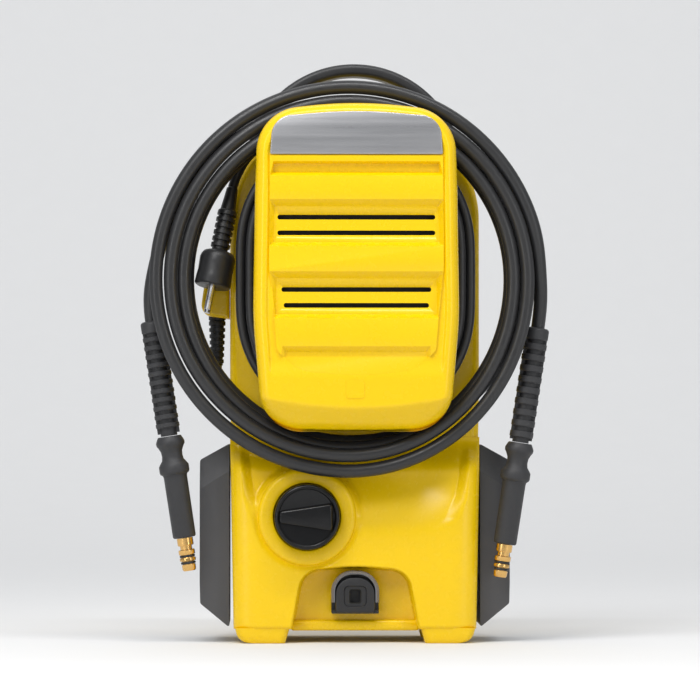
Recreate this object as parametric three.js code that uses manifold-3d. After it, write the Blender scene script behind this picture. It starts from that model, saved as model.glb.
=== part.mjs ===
// A compact cold-water pressure washer that stands upright, with its mains cord wound round the neck behind
// the front cover and its high-pressure hose hung over the same neck. Millimetres, +Z up, front faces -Y.
import * as THREE from "three";
import { mergeVertices } from "three/addons/utils/BufferGeometryUtils.js";
import Module from "manifold-3d";

const wasm = await Module();
wasm.setup();

// ---- driving dimensions ------------------------------------------------------------------------------
const GAP = 0.3; // clearance between touching pieces
const WALL = 3; // plastic wall thickness

const BODY_WIDTH = 190;
const BODY_BOTTOM = 10.6;
const BODY_TOP = 396;
const BODY_FRONT = -20; // flange that the cord winds against
const BODY_REAR = 85;
const SHELL_SPLIT = 20; // y of the joint between the two shells
const FOOT_WIDTH = 40;
const FOOT_DEPTH = 28;
const FOOT_X = 71;

const APRON_TOP = 151; // lower front, under the cover
const APRON_FRONT = -42;
const DISH_FLOOR = -28;
const ALCOVE_TOP = 58;
const ALCOVE_WIDTH = 98;
const ALCOVE_FLOOR = -22;

const NECK_WIDTH = 136;
const NECK_HEIGHT = 180;
const NECK_RADIUS = 65;
const SPOOL_Z = 276.5; // centre of the neck
const NECK_FRONT = -60;

const COVER_WIDTH = 155;
const COVER_LOW = 160.2;
const COVER_HIGH = 408;
const COVER_FRONT = -88;
const LOUVRE_WIDTH = 129;
const LOUVRE_TOPS = [351.6, 298.7, 244.9]; // top edges of the three flush bands
const LOUVRE_LOWS = [333.9, 280, 224.9]; // and their lower edges
const POCKET_TOP = 362.2; // the pocket between the badge and the first band ends here
const POCKET_DEEP = 5.5;
const SCOOP_LOW = 200; // the scoop under the last band runs out here
const SLOT_HEIGHT = 3.5;
const SLOT_TOP = 320.6; // the highest of the two pairs of slots
const SLOT_PAIR_STEP = 54.1;
const SLOT_STEP = 11.8;
const BADGE_THICK = 1.6;

const PANEL_OUT = 118; // side panels and cord bracket reach this far from the middle
const PANEL_FRONT = -22;
const PANEL_REAR = 70;

const HANDLE_RADIUS = 84.6;
const HANDLE_Z = 358.4;
const HANDLE_THICK = 9.6;
const HANDLE_DEPTH = 24;

const KNOB_X = -36.6;
const KNOB_Z = 95.9;
const KNOB_RADIUS = 24.7;
const KNOB_FRONT = -60;
const BEZEL_RADIUS = 37.4;
const BEZEL_FRONT = -43;
const SHAFT_RADIUS = 4;

const OUTLET_Z = 36.9;
const OUTLET_RADIUS = 15;
const OUTLET_FRONT = -40;
const RELEASE_TRAVEL = 2;
const INLET_RADIUS = 13;

const CORD = 7.4; // mains cord diameter
const CORD_COLUMNS = 3;
const CORD_LAYERS = 3;
const HOSE = 10.4; // high-pressure hose diameter
const RING_X = -5; // centre of the hung hose coil
const RING_Z = 275.3;
const RING_INNER = 117;
const RING_STEP = 139.5; // inside this radius the coil is full depth
const RING_OUTER = 151;
const RING_FRONT = NECK_FRONT + GAP;
const RING_STEP_BACK = -47;
const RING_BACK = -31;
const HOSE_END_Y = -37;

const MOTOR_X = -14;
const MOTOR_Y = 30;
const GEAR_OFFSET = 34; // from the motor axis to the pump axis
const PINION_RADIUS = 6;
const PUMP_X = MOTOR_X + GEAR_OFFSET;
const ROTOR_SHAFT = 5;
const STATOR_RADIUS = 42;
const STATOR_BORE = 27;
const STATOR_LOW = 215;
const STATOR_HIGH = 285;
const BEARING_RADIUS = 11;
const BEARING_WIDTH = 8;
const CASE_LOW = 150;
const PUMP_RADIUS = 38;
const PUMP_LOW = 84;
const HEAD_LOW = 20;
const PISTON_RADIUS = 6;
const PISTON_CIRCLE = 17;

// ---- materials ---------------------------------------------------------------------------------------
const material = (color, roughness, metalness = 0) => () =>
  new THREE.MeshStandardMaterial({ color, roughness, metalness });
const yellow = material(0xf7d900, 0.4);
const darkGrey = material(0x4a4a4d, 0.6);
const black = material(0x151516, 0.5);
const gloss = material(0x0c0c0d, 0.2);
const rubber = material(0x1b1b1c, 0.8);
const silver = material(0xa5a5a8, 0.35, 0.8);
const brass = material(0xc79a3b, 0.3, 1);
const steel = material(0x9a9c9f, 0.35, 1);
const aluminium = material(0xb5b7ba, 0.45, 1);
const copper = material(0xb06a3a, 0.4, 1);

// ---- shapes ------------------------------------------------------------------------------------------
const root = new THREE.Group();

function solid(geometry) {
  const bare = geometry.clone();
  bare.deleteAttribute("normal");
  bare.deleteAttribute("uv");
  const merged = mergeVertices(bare, 1e-4);
  const vertProperties = new Float32Array(merged.attributes.position.array);
  const triVerts = new Uint32Array(merged.index.array);
  return new wasm.Manifold(new wasm.Mesh({ numProp: 3, vertProperties, triVerts }));
}

function geometryOf(body) {
  const mesh = body.getMesh();
  const geometry = new THREE.BufferGeometry();
  geometry.setAttribute("position", new THREE.BufferAttribute(mesh.vertProperties, 3));
  geometry.setIndex(new THREE.BufferAttribute(mesh.triVerts, 1));
  geometry.computeVertexNormals();
  return geometry;
}

function piece(name, finish, shape) {
  const geometry = shape.isBufferGeometry ? shape : geometryOf(shape);
  const mesh = new THREE.Mesh(geometry, finish());
  mesh.name = name;
  root.add(mesh);
  return mesh;
}

const join = (...bodies) => bodies.reduce((sum, body) => sum.add(body));
const cut = (body, ...tools) => tools.reduce((left, tool) => left.subtract(tool), body);

/** A closed body through rings of equally many points, with flat ends. */
function loft(rings) {
  const count = rings[0].length;
  const positions = rings.flat().flatMap((p) => [p.x, p.y, p.z]);
  const index = [];
  for (let r = 0; r + 1 < rings.length; r++) {
    for (let i = 0; i < count; i++) {
      const [a, b] = [r * count + i, r * count + ((i + 1) % count)];
      index.push(a, b, b + count, a, b + count, a + count);
    }
  }
  for (const [ring, flip] of [[0, true], [rings.length - 1, false]]) {
    for (const [a, b, c] of capOf(rings[ring])) {
      const corners = flip ? [c, b, a] : [a, b, c];
      index.push(...corners.map((corner) => ring * count + corner));
    }
  }
  const geometry = new THREE.BufferGeometry();
  geometry.setAttribute("position", new THREE.Float32BufferAttribute(positions, 3));
  geometry.setIndex(index);
  return volumeOf(geometry) < 0 ? turnedInsideOut(geometry) : geometry;
}

/** Triangles across a flat ring, wound the way its points run. */
function capOf(ring) {
  const centre = ring.reduce((sum, p) => sum.clone().add(p)).divideScalar(ring.length);
  const normal = new THREE.Vector3();
  ring.forEach((p, i) => {
    const next = ring[(i + 1) % ring.length];
    normal.add(p.clone().sub(centre).cross(next.clone().sub(centre)));
  });
  normal.normalize();
  const across = ring[0].clone().sub(centre);
  across.addScaledVector(normal, -across.dot(normal)).normalize();
  const up = normal.clone().cross(across);
  const flat = ring.map((p) => {
    const arm = p.clone().sub(centre);
    return new THREE.Vector2(arm.dot(across), arm.dot(up));
  });
  return THREE.ShapeUtils.triangulateShape(flat, []);
}

function volumeOf(geometry) {
  const at = geometry.attributes.position;
  const [a, b, c] = [new THREE.Vector3(), new THREE.Vector3(), new THREE.Vector3()];
  let volume = 0;
  for (let i = 0; i < geometry.index.count; i += 3) {
    a.fromBufferAttribute(at, geometry.index.getX(i));
    b.fromBufferAttribute(at, geometry.index.getX(i + 1));
    c.fromBufferAttribute(at, geometry.index.getX(i + 2));
    volume += a.dot(b.cross(c)) / 6;
  }
  return volume;
}

function turnedInsideOut(geometry) {
  const index = Array.from(geometry.index.array);
  for (let i = 0; i < index.length; i += 3) [index[i], index[i + 2]] = [index[i + 2], index[i]];
  geometry.setIndex(index);
  return geometry;
}

/** Corners [a, b, radius] moved inwards by a distance; the corners run anticlockwise. */
function inset(corners, distance) {
  if (distance === 0) return corners;
  return corners.map(([a, b, radius], i) => {
    const before = corners[(i + corners.length - 1) % corners.length];
    const after = corners[(i + 1) % corners.length];
    const into = new THREE.Vector2(a - before[0], b - before[1]).normalize();
    const out = new THREE.Vector2(after[0] - a, after[1] - b).normalize();
    const turn = into.x * out.y - into.y * out.x;
    const mitre = new THREE.Vector2(-into.y - out.y, into.x + out.x);
    mitre.multiplyScalar(distance / (1 + into.dot(out)));
    return [a + mitre.x, b + mitre.y, Math.max(radius - Math.sign(turn) * distance, 0.3)];
  });
}

/** The points of an outline whose corners are rounded by arcs of so many steps. */
function rounded(corners, steps = 4) {
  return corners.flatMap(([a, b, radius], i) => {
    const here = new THREE.Vector2(a, b);
    const before = corners[(i + corners.length - 1) % corners.length];
    const after = corners[(i + 1) % corners.length];
    const back = new THREE.Vector2(before[0] - a, before[1] - b);
    const on = new THREE.Vector2(after[0] - a, after[1] - b);
    const half = back.angleTo(on) / 2;
    const most = 0.49 * Math.min(back.length(), on.length());
    const reach = Math.min(radius / Math.tan(half), most);
    const bend = reach * Math.tan(half);
    const start = here.clone().addScaledVector(back.normalize(), reach);
    const middle = back.clone().add(on.normalize()).normalize().multiplyScalar(bend / Math.sin(half));
    const centre = here.clone().add(middle);
    const end = here.clone().addScaledVector(on, reach);
    const from = start.clone().sub(centre).angle();
    let sweep = end.clone().sub(centre).angle() - from;
    if (sweep > Math.PI) sweep -= 2 * Math.PI;
    if (sweep < -Math.PI) sweep += 2 * Math.PI;
    return Array.from({ length: steps + 1 }, (_, k) => {
      const angle = from + (sweep * k) / steps;
      return new THREE.Vector2(centre.x + bend * Math.cos(angle), centre.y + bend * Math.sin(angle));
    });
  });
}

/** A body through one outline seen from the front: each section is [y, inset]. */
function frontLoft(corners, sections, steps = 3) {
  return loft(sections.map(([y, distance]) =>
    rounded(inset(corners, distance), steps).map((p) => new THREE.Vector3(p.x, y, p.y))));
}

/** The same seen from above: each section is [z, inset]. */
function topLoft(corners, sections, steps = 3) {
  return loft(sections.map(([z, distance]) =>
    rounded(inset(corners, distance), steps).map((p) => new THREE.Vector3(p.x, p.y, z))));
}

const front = (...all) => solid(frontLoft(...all));
const top = (...all) => solid(topLoft(...all));

/** Corners of a rectangle with rounded corners, from its centre and size. */
function rectangle(a, b, width, height, radius = 0.3) {
  const [w, h] = [width / 2, height / 2];
  return [[a - w, b - h, radius], [a + w, b - h, radius], [a + w, b + h, radius], [a - w, b + h, radius]];
}

function box(x0, x1, y0, y1, z0, z1) {
  const geometry = new THREE.BoxGeometry(x1 - x0, y1 - y0, z1 - z0);
  return solid(geometry.translate((x0 + x1) / 2, (y0 + y1) / 2, (z0 + z1) / 2));
}

/** A turned body: its profile is [distance along the axis, radius], from one point towards another. */
function turned(from, to, profile, segments = 16) {
  const points = profile.map(([along, radius]) => new THREE.Vector2(radius, along));
  let geometry = new THREE.LatheGeometry(points, segments);
  geometry.deleteAttribute("normal");
  geometry.deleteAttribute("uv");
  geometry = mergeVertices(geometry, 1e-4);
  const start = new THREE.Vector3(...from);
  const axis = new THREE.Vector3(...to).sub(start).normalize();
  geometry.applyQuaternion(new THREE.Quaternion().setFromUnitVectors(new THREE.Vector3(0, 1, 0), axis));
  geometry.translate(start.x, start.y, start.z);
  const kept = geometry.index.array;
  const whole = [];
  for (let i = 0; i < kept.length; i += 3) {
    const [a, b, c] = [kept[i], kept[i + 1], kept[i + 2]];
    if (a !== b && b !== c && a !== c) whole.push(a, b, c);
  }
  geometry.setIndex(whole);
  return volumeOf(geometry) < 0 ? turnedInsideOut(geometry) : geometry;
}

const disc = (radius, low, high) => [[low, 0], [low, radius], [high, radius], [high, 0]];
const ring = (bore, radius, low, high) => [[low, bore], [low, radius], [high, radius], [high, bore], [low, bore]];
const rod = (from, to, radius, segments = 16) => {
  const long = new THREE.Vector3(...to).distanceTo(new THREE.Vector3(...from));
  return solid(turned(from, to, disc(radius, 0, long), segments));
};

/** A round tube along hand-chosen points. */
function tube(points, diameter, steps, sides = 10) {
  const path = new THREE.CatmullRomCurve3(points.map((p) => new THREE.Vector3(...p)), false, "centripetal");
  const section = new THREE.Shape();
  for (let k = 0; k < sides; k++) {
    const angle = (2 * Math.PI * k) / sides;
    section[k ? "lineTo" : "moveTo"]((diameter / 2) * Math.cos(angle), (diameter / 2) * Math.sin(angle));
  }
  const options = { steps, extrudePath: path, bevelEnabled: false };
  return solid(new THREE.ExtrudeGeometry(section, options));
}

// ---- outlines, seen from the front -------------------------------------------------------------------
const HALF = BODY_WIDTH / 2;
const bodyOutline = [
  [-HALF + 3, BODY_BOTTOM, 6],
  [HALF - 3, BODY_BOTTOM, 6],
  [HALF, 190, 900],
  [HALF, BODY_TOP - 45, 100],
  [HALF - 39, BODY_TOP, 38],
  [-HALF + 39, BODY_TOP, 38],
  [-HALF, BODY_TOP - 45, 100],
  [-HALF, 190, 900],
];
const neckOutline = rectangle(0, SPOOL_Z, NECK_WIDTH, NECK_HEIGHT, NECK_RADIUS);
const COVER_HALF = COVER_WIDTH / 2;
const coverOutline = [
  [-COVER_HALF + 7.5, COVER_LOW, 32],
  [COVER_HALF - 7.5, COVER_LOW, 32],
  [COVER_HALF, 245, 300],
  [COVER_HALF - 1.5, 340, 400],
  [COVER_HALF - 3.5, COVER_HIGH - 8, 37],
  [0, COVER_HIGH + 0.5, 500],
  [-COVER_HALF + 3.5, COVER_HIGH - 8, 37],
  [-COVER_HALF + 1.5, 340, 400],
  [-COVER_HALF, 245, 300],
];

// ---- carry handle ------------------------------------------------------------------------------------
const HANDLE_Y = SHELL_SPLIT;
const HANDLE_LEG = 26;

/** The arch with its two legs, made thicker all round by a clearance. */
function arch(clearance) {
  const thick = HANDLE_THICK / 2 + clearance;
  const deep = HANDLE_DEPTH / 2 + clearance;
  const middle = HANDLE_RADIUS - HANDLE_THICK / 2;
  const section = rounded(rectangle(0, 0, 2 * thick, 2 * deep, 3.5), 2);
  const stations = [[0, -HANDLE_LEG - clearance]];
  for (let k = 0; k <= 14; k++) stations.push([(Math.PI * k) / 14, 0]);
  stations.push([Math.PI, -HANDLE_LEG - clearance]);
  return solid(loft(stations.map(([angle, drop]) => section.map((p) => new THREE.Vector3(
    (middle + p.x) * Math.cos(angle), HANDLE_Y + p.y, HANDLE_Z + drop + (middle + p.x) * Math.sin(angle))))));
}

piece("carry_handle", black, arch(0));

// ---- shells ------------------------------------------------------------------------------------------
const FOOT_TOP = BODY_BOTTOM + 6;
const footOutline = (side) => rectangle(side * FOOT_X, FOOT_TOP / 2, FOOT_WIDTH, FOOT_TOP, 4);
const FRONT_FOOT_Y = -26;
const REAR_FOOT_Y = 62;

function foot(side, y) {
  const sections = [[y - FOOT_DEPTH / 2, 1.5], [y - FOOT_DEPTH / 2 + 2, 0],
    [y + FOOT_DEPTH / 2 - 2, 0], [y + FOOT_DEPTH / 2, 1.5]];
  return front(footOutline(side), sections, 2);
}

const vents = (x, z, count, step, width, y0, y1) => Array.from({ length: count }, (_, k) =>
  front(rectangle(x, z + k * step, width, 5, 2.4), [[y0, 0], [y1, 0]], 2));

// screw towers that tie the rear shell to the front one
const TOWERS = [[-78, 60], [78, 60], [-82, 200], [82, 200], [-50, 372], [50, 372]];
const TOWER_RADIUS = 5;
const SCREW_RADIUS = 2;
const SCREW_LONG = 34;
const SCREW_SEAT = BODY_REAR - 12;

const screwHole = ([x, z]) => rod([x, SCREW_SEAT - SCREW_LONG - 2, z], [x, BODY_REAR + 1, z],
  SCREW_RADIUS + GAP, 10);

const BRACKET_Z = 264;
const BRACKET_HEIGHT = 36;
const WIRE = 5;
const wireHole = rod([-HALF - 2, 0, BRACKET_Z], [-HALF + 2 * WALL, 0, BRACKET_Z], WIRE / 2 + GAP, 10);

const apronOutline = [
  [-HALF + 3, BODY_BOTTOM, 6],
  [HALF - 3, BODY_BOTTOM, 6],
  [HALF - 0.4, APRON_TOP, 8],
  [-HALF + 0.4, APRON_TOP, 8],
];
const DISH_HALF = HALF - 11;
const dishOutline = [
  [-DISH_HALF + 30, 82, 30],
  [DISH_HALF - 30, 82, 30],
  [DISH_HALF - 8, 100, 40],
  [DISH_HALF, APRON_TOP + 20, 60],
  [-DISH_HALF, APRON_TOP + 20, 60],
  [-DISH_HALF + 8, 100, 40],
];
const alcoveOutline = [
  [-ALCOVE_WIDTH / 2, BODY_BOTTOM - 2, 1],
  [ALCOVE_WIDTH / 2, BODY_BOTTOM - 2, 1],
  [ALCOVE_WIDTH / 2 - 9, ALCOVE_TOP, 16],
  [-ALCOVE_WIDTH / 2 + 9, ALCOVE_TOP, 16],
];

function frontShell() {
  const shell = join(
    front(bodyOutline, [[BODY_FRONT, 5], [BODY_FRONT + 3, 1.5], [BODY_FRONT + 8, 0],
      [SHELL_SPLIT - GAP / 2, 0]]),
    front(apronOutline, [[APRON_FRONT, 8], [APRON_FRONT + 4, 3], [APRON_FRONT + 12, 0], [0, 0]]),
    front(neckOutline, [[NECK_FRONT, 0], [0, 0]]),
  );
  const dished = cut(
    shell,
    front(dishOutline, [[APRON_FRONT - 2, 0], [DISH_FLOOR - 4, 6], [DISH_FLOOR, 14]]),
    solid(loft([-HALF - 5, HALF + 5].map((x) => [[APRON_FRONT - 3, 128], [BODY_FRONT, APRON_TOP + 1],
      [APRON_FRONT - 3, APRON_TOP + 1]].map(([y, z]) => new THREE.Vector3(x, y, z))))),
  );
  const bossed = join(
    dished,
    front(neckOutline, [[NECK_FRONT, 0], [0, 0]]),
    rod([KNOB_X, BEZEL_FRONT, KNOB_Z], [KNOB_X, 0, KNOB_Z], BEZEL_RADIUS, 36),
    foot(-1, FRONT_FOOT_Y),
    foot(1, FRONT_FOOT_Y),
  );
  const hollow = cut(
    bossed,
    front(bodyOutline, [[BODY_FRONT + WALL, WALL + 1], [SHELL_SPLIT + 1, WALL]]),
    front(neckOutline, [[NECK_FRONT + WALL, WALL], [1, WALL]]),
    front(alcoveOutline, [[APRON_FRONT - 3, -2], [ALCOVE_FLOOR, 0]]),
    rod([KNOB_X, BEZEL_FRONT - 1, KNOB_Z], [KNOB_X, BEZEL_FRONT + 7, KNOB_Z], KNOB_RADIUS + 0.7, 36),
    rod([KNOB_X, BEZEL_FRONT, KNOB_Z], [KNOB_X, 1, KNOB_Z], SHAFT_RADIUS + GAP, 12),
    rod([0, ALCOVE_FLOOR - 1, OUTLET_Z], [0, BODY_FRONT + 2 * WALL, OUTLET_Z], OUTLET_RADIUS - 5 + GAP, 20),
    front(rectangle(0, SPOOL_Z, NECK_WIDTH - 70, NECK_HEIGHT - 60, 12),
      [[NECK_FRONT - 1, 0], [NECK_FRONT + WALL + 1, 0]], 3),
  );
  const ties = TOWERS.map(([x, z]) => rod([x, BODY_FRONT + 1, z], [x, SHELL_SPLIT + 14, z], TOWER_RADIUS, 12));
  return cut(
    join(hollow, ...ties),
    ...TOWERS.map(screwHole),
    arch(GAP),
    wireHole,
  );
}

function rearShell() {
  const rearFace = [[SHELL_SPLIT + GAP / 2, 0], [BODY_REAR - 14, 0], [BODY_REAR - 4, 3], [BODY_REAR, 9]];
  const skin = join(front(bodyOutline, rearFace), foot(-1, REAR_FOOT_Y), foot(1, REAR_FOOT_Y));
  const hollow = cut(
    skin,
    front(bodyOutline, [[SHELL_SPLIT - 1, WALL], [BODY_REAR - 14, WALL], [BODY_REAR - WALL, 11]]),
    rod([0, BODY_REAR - WALL - 1, OUTLET_Z], [0, BODY_REAR + 1, OUTLET_Z], INLET_RADIUS + GAP, 20),
    ...vents(0, 250, 6, 14, 90, BODY_REAR - WALL - 2, BODY_REAR + 2),
  );
  const ties = TOWERS.map(([x, z]) => rod([x, SHELL_SPLIT + 14 + GAP, z], [x, BODY_REAR - WALL + 1, z],
    TOWER_RADIUS, 12));
  const seats = TOWERS.map(([x, z]) => rod([x, SCREW_SEAT, z], [x, BODY_REAR + 1, z], TOWER_RADIUS - 1, 12));
  return cut(
    join(hollow, ...ties),
    ...TOWERS.map(screwHole),
    ...seats,
    arch(GAP),
    wireHole,
  );
}

piece("front_shell", yellow, frontShell());
piece("rear_shell", yellow, rearShell());

TOWERS.forEach(([x, z], k) => {
  const profile = [[0, 0], [0, SCREW_RADIUS], [SCREW_LONG - GAP, SCREW_RADIUS], [SCREW_LONG - GAP, 3.6],
    [SCREW_LONG + 2, 3.6], [SCREW_LONG + 2, 0]];
  const from = [x, SCREW_SEAT - SCREW_LONG + 2 * GAP, z];
  piece(`case_screw_${k + 1}`, steel, turned(from, [x, BODY_REAR, z], profile, 10));
});

// ---- front cover and badge ---------------------------------------------------------------------------
const COVER_BACK = NECK_FRONT - GAP;
const BADGE_LOW = 367.5;
const badgeOutline = [
  [-LOUVRE_WIDTH / 2, BADGE_LOW, 1],
  [LOUVRE_WIDTH / 2, BADGE_LOW, 1],
  [LOUVRE_WIDTH / 2 - 2, COVER_HIGH - 12.5, 26],
  [0, COVER_HIGH - 7, 400],
  [-LOUVRE_WIDTH / 2 + 2, COVER_HIGH - 12.5, 26],
];

function frontCover() {
  const skin = front(coverOutline, [[COVER_BACK, 1.5], [COVER_BACK - 3, 0], [COVER_FRONT + 8, 0],
    [COVER_FRONT + 2.5, 3], [COVER_FRONT, 9]]);
  const lip = solid(loft([-HALF, HALF].map((x) => [[COVER_FRONT - 1, COVER_LOW + 20],
    [COVER_FRONT + 14, COVER_LOW - 2], [COVER_FRONT - 1, COVER_LOW - 2]]
    .map(([y, z]) => new THREE.Vector3(x, y, z)))));
  const pockets = [[LOUVRE_TOPS[0], POCKET_TOP], [LOUVRE_TOPS[1], LOUVRE_LOWS[0]], [LOUVRE_TOPS[2], LOUVRE_LOWS[1]],
    [SCOOP_LOW, LOUVRE_LOWS[2]]].map(([low, high], k) =>
    rectangle(0, (low + high) / 2, LOUVRE_WIDTH + 1 - 3 * k, high - low, 1.5));
  const cutters = pockets.slice(0, 3).map((outline) =>
    front(outline, [[COVER_FRONT - 1, -0.5], [COVER_FRONT + POCKET_DEEP, 2.5]], 2));
  const scoop = solid(loft([-1, 1].map((side) => [[COVER_FRONT - 1, LOUVRE_LOWS[2] + 1],
    [COVER_FRONT + POCKET_DEEP, LOUVRE_LOWS[2] - 5], [COVER_FRONT - 1, SCOOP_LOW]]
    .map(([y, z]) => new THREE.Vector3(side * (LOUVRE_WIDTH / 2 - 8), y, z)))));
  const backings = pockets.map((outline) => front(inset(outline, -WALL),
    [[COVER_FRONT + 1, 0], [COVER_FRONT + POCKET_DEEP + WALL, 0]], 2));
  const hollow = cut(
    front(coverOutline, [[COVER_BACK - WALL, WALL], [COVER_FRONT + 8, WALL], [COVER_FRONT + WALL, 12]]),
    ...backings,
  );
  const slots = [0, 1].flatMap((k) => [0, 1].map((n) => front(
    rectangle(0, SLOT_TOP - k * SLOT_PAIR_STEP - n * SLOT_STEP, 118 - 6 * k, SLOT_HEIGHT, 1.7),
    [[COVER_FRONT - 1, 0], [COVER_FRONT + POCKET_DEEP + WALL + 1, 0]], 2)));
  return cut(
    cut(skin, lip, scoop),
    ...cutters,
    hollow,
    front(neckOutline, [[COVER_BACK + 1, WALL], [COVER_BACK - WALL - 1, WALL]]),
    front(inset(badgeOutline, -GAP), [[COVER_FRONT - 1, 0], [COVER_FRONT + BADGE_THICK, 0]]),
    ...slots,
  );
}

piece("front_cover", yellow, frontCover());
piece("badge_plate", silver, frontLoft(badgeOutline,
  [[COVER_FRONT + BADGE_THICK - GAP, 0], [COVER_FRONT, 0], [COVER_FRONT - 0.4, 0.8]]));

// ---- side panels and cord bracket --------------------------------------------------------------------
const PANEL_BEND = 29.5; // below this the panel slopes in to the body
const PANEL_SHOULDER = 138.5; // above this too
/** The panel, or with a wall the hollow behind it, which is open towards the body. */
const panelOutline = (side, wall = 0) => {
  const inner = HALF + GAP - wall;
  const corners = [[inner, BODY_BOTTOM + 0.6 + wall, 1], [PANEL_OUT - wall, PANEL_BEND + wall, 3],
    [PANEL_OUT - wall, PANEL_SHOULDER - wall, 4], [inner, APRON_TOP - wall, 1]];
  return side > 0 ? corners : corners.map(([x, z, r]) => [-x, z, r]).reverse();
};
const FACET_DEEP = 11;

for (const [hand, side] of [["left", -1], ["right", 1]]) {
  const block = front(panelOutline(side), [[PANEL_FRONT, 2], [PANEL_FRONT + 3, 0], [PANEL_REAR - 8, 0],
    [PANEL_REAR, 4]], 3);
  const facet = solid(loft([80, 125].map((x) => {
    const fall = (x - HALF) * 0.62;
    return [[PANEL_FRONT - 2, 130.6 - fall], [PANEL_FRONT - 2 + FACET_DEEP, 152 - fall], [PANEL_FRONT - 2, 170]]
      .map(([y, z]) => new THREE.Vector3(side * x, y, z));
  })));
  const hollow = front(panelOutline(side, WALL), [[PANEL_FRONT + FACET_DEEP + WALL, 0],
    [PANEL_REAR - WALL - 4, 0]], 3);
  piece(`${hand}_side_panel`, darkGrey, cut(block, facet, hollow));
}

const bracketOutline = [
  [-PANEL_OUT, BRACKET_Z - BRACKET_HEIGHT / 2 + 3, 9],
  [-HALF - GAP, BRACKET_Z - BRACKET_HEIGHT / 2, 0.5],
  [-HALF - GAP, BRACKET_Z + BRACKET_HEIGHT / 2, 0.5],
  [-PANEL_OUT + 4, BRACKET_Z + BRACKET_HEIGHT / 2 - 4, 9],
];
const BRACKET_FRONT = -16;
const RELIEF_X = -105;
const RELIEF_Y = -4;
const RELIEF_TOP = BRACKET_Z - BRACKET_HEIGHT / 2 + 10;
const RELIEF_BOTTOM = 211;
const RELIEF_RADIUS = 6.5;
piece("cord_bracket", yellow, cut(
  front(bracketOutline, [[BRACKET_FRONT, 2], [BRACKET_FRONT + 3, 0], [9, 0], [12, 2]], 3),
  rod([RELIEF_X, RELIEF_Y, RELIEF_BOTTOM], [RELIEF_X, RELIEF_Y, RELIEF_TOP + GAP], RELIEF_RADIUS + GAP, 14),
  rod([RELIEF_X, RELIEF_Y, RELIEF_TOP - 2], [RELIEF_X, RELIEF_Y, BRACKET_Z + 4], WIRE / 2 + 1, 10),
  rod([RELIEF_X - 1, 0, BRACKET_Z], [-HALF + 1, 0, BRACKET_Z], WIRE / 2 + 1.5, 10),
));

// ---- knob, switch ------------------------------------------------------------------------------------
const KNOB_BACK = BEZEL_FRONT + 7 - 1;
const GRIP_RISE = 6;
const SHAFT_END = 12;

function knob() {
  const dial = solid(turned([KNOB_X, KNOB_BACK, KNOB_Z], [KNOB_X, KNOB_FRONT, KNOB_Z],
    [[0, 0], [0, KNOB_RADIUS], [KNOB_BACK - KNOB_FRONT - 2.5, KNOB_RADIUS],
      [KNOB_BACK - KNOB_FRONT, KNOB_RADIUS - 2.5], [KNOB_BACK - KNOB_FRONT, 0]], 36));
  const grip = [[-20.6, -4.2, 2], [18.9, -10.3, 3], [18.9, 10.3, 3], [-20.6, 4.2, 2]];
  const placed = grip.map(([x, z, r]) => [KNOB_X + x, KNOB_Z + z, r]);
  return join(dial, front(placed, [[KNOB_FRONT + 2, -1], [KNOB_FRONT - GRIP_RISE, 1]], 3));
}

piece("switch_knob", gloss, cut(knob(),
  rod([KNOB_X, KNOB_BACK + 1, KNOB_Z], [KNOB_X, KNOB_BACK - 8, KNOB_Z], SHAFT_RADIUS + GAP, 12)));
piece("knob_shaft", black, join(
  rod([KNOB_X, KNOB_BACK - 8 + GAP, KNOB_Z], [KNOB_X, BODY_FRONT + WALL + SHAFT_END, KNOB_Z], SHAFT_RADIUS, 12),
  rod([KNOB_X, BODY_FRONT + WALL + 2, KNOB_Z], [KNOB_X, BODY_FRONT + WALL + 7, KNOB_Z], 8, 16),
));

const SWITCH_FRONT = BODY_FRONT + WALL + SHAFT_END + 5;
const PLUNGER_TRAVEL = 2;
const SWITCH_DEPTH = 24;
piece("power_switch", black, cut(
  box(KNOB_X - 13, KNOB_X + 11, SWITCH_FRONT, SWITCH_FRONT + SWITCH_DEPTH, KNOB_Z - 11, KNOB_Z + 11),
  box(KNOB_X - 3 - GAP, KNOB_X + 3 + GAP, SWITCH_FRONT - 1, SWITCH_FRONT + 8, KNOB_Z - 3 - GAP,
    KNOB_Z + 3 + GAP),
));
piece("switch_plunger", rubber, box(KNOB_X - 3, KNOB_X + 3, SWITCH_FRONT - PLUNGER_TRAVEL - 1,
  SWITCH_FRONT + 8 - PLUNGER_TRAVEL - 1, KNOB_Z - 3, KNOB_Z + 3));

// ---- water outlet and inlet --------------------------------------------------------------------------
const HEAD_FRONT = MOTOR_Y - 30;
const HEAD_REAR = MOTOR_Y + 28;
const RELEASE_THICK = 2.8;
const OUTLET_CORNER = 13; // the button clears the coupling's corners when it is pressed
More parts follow.
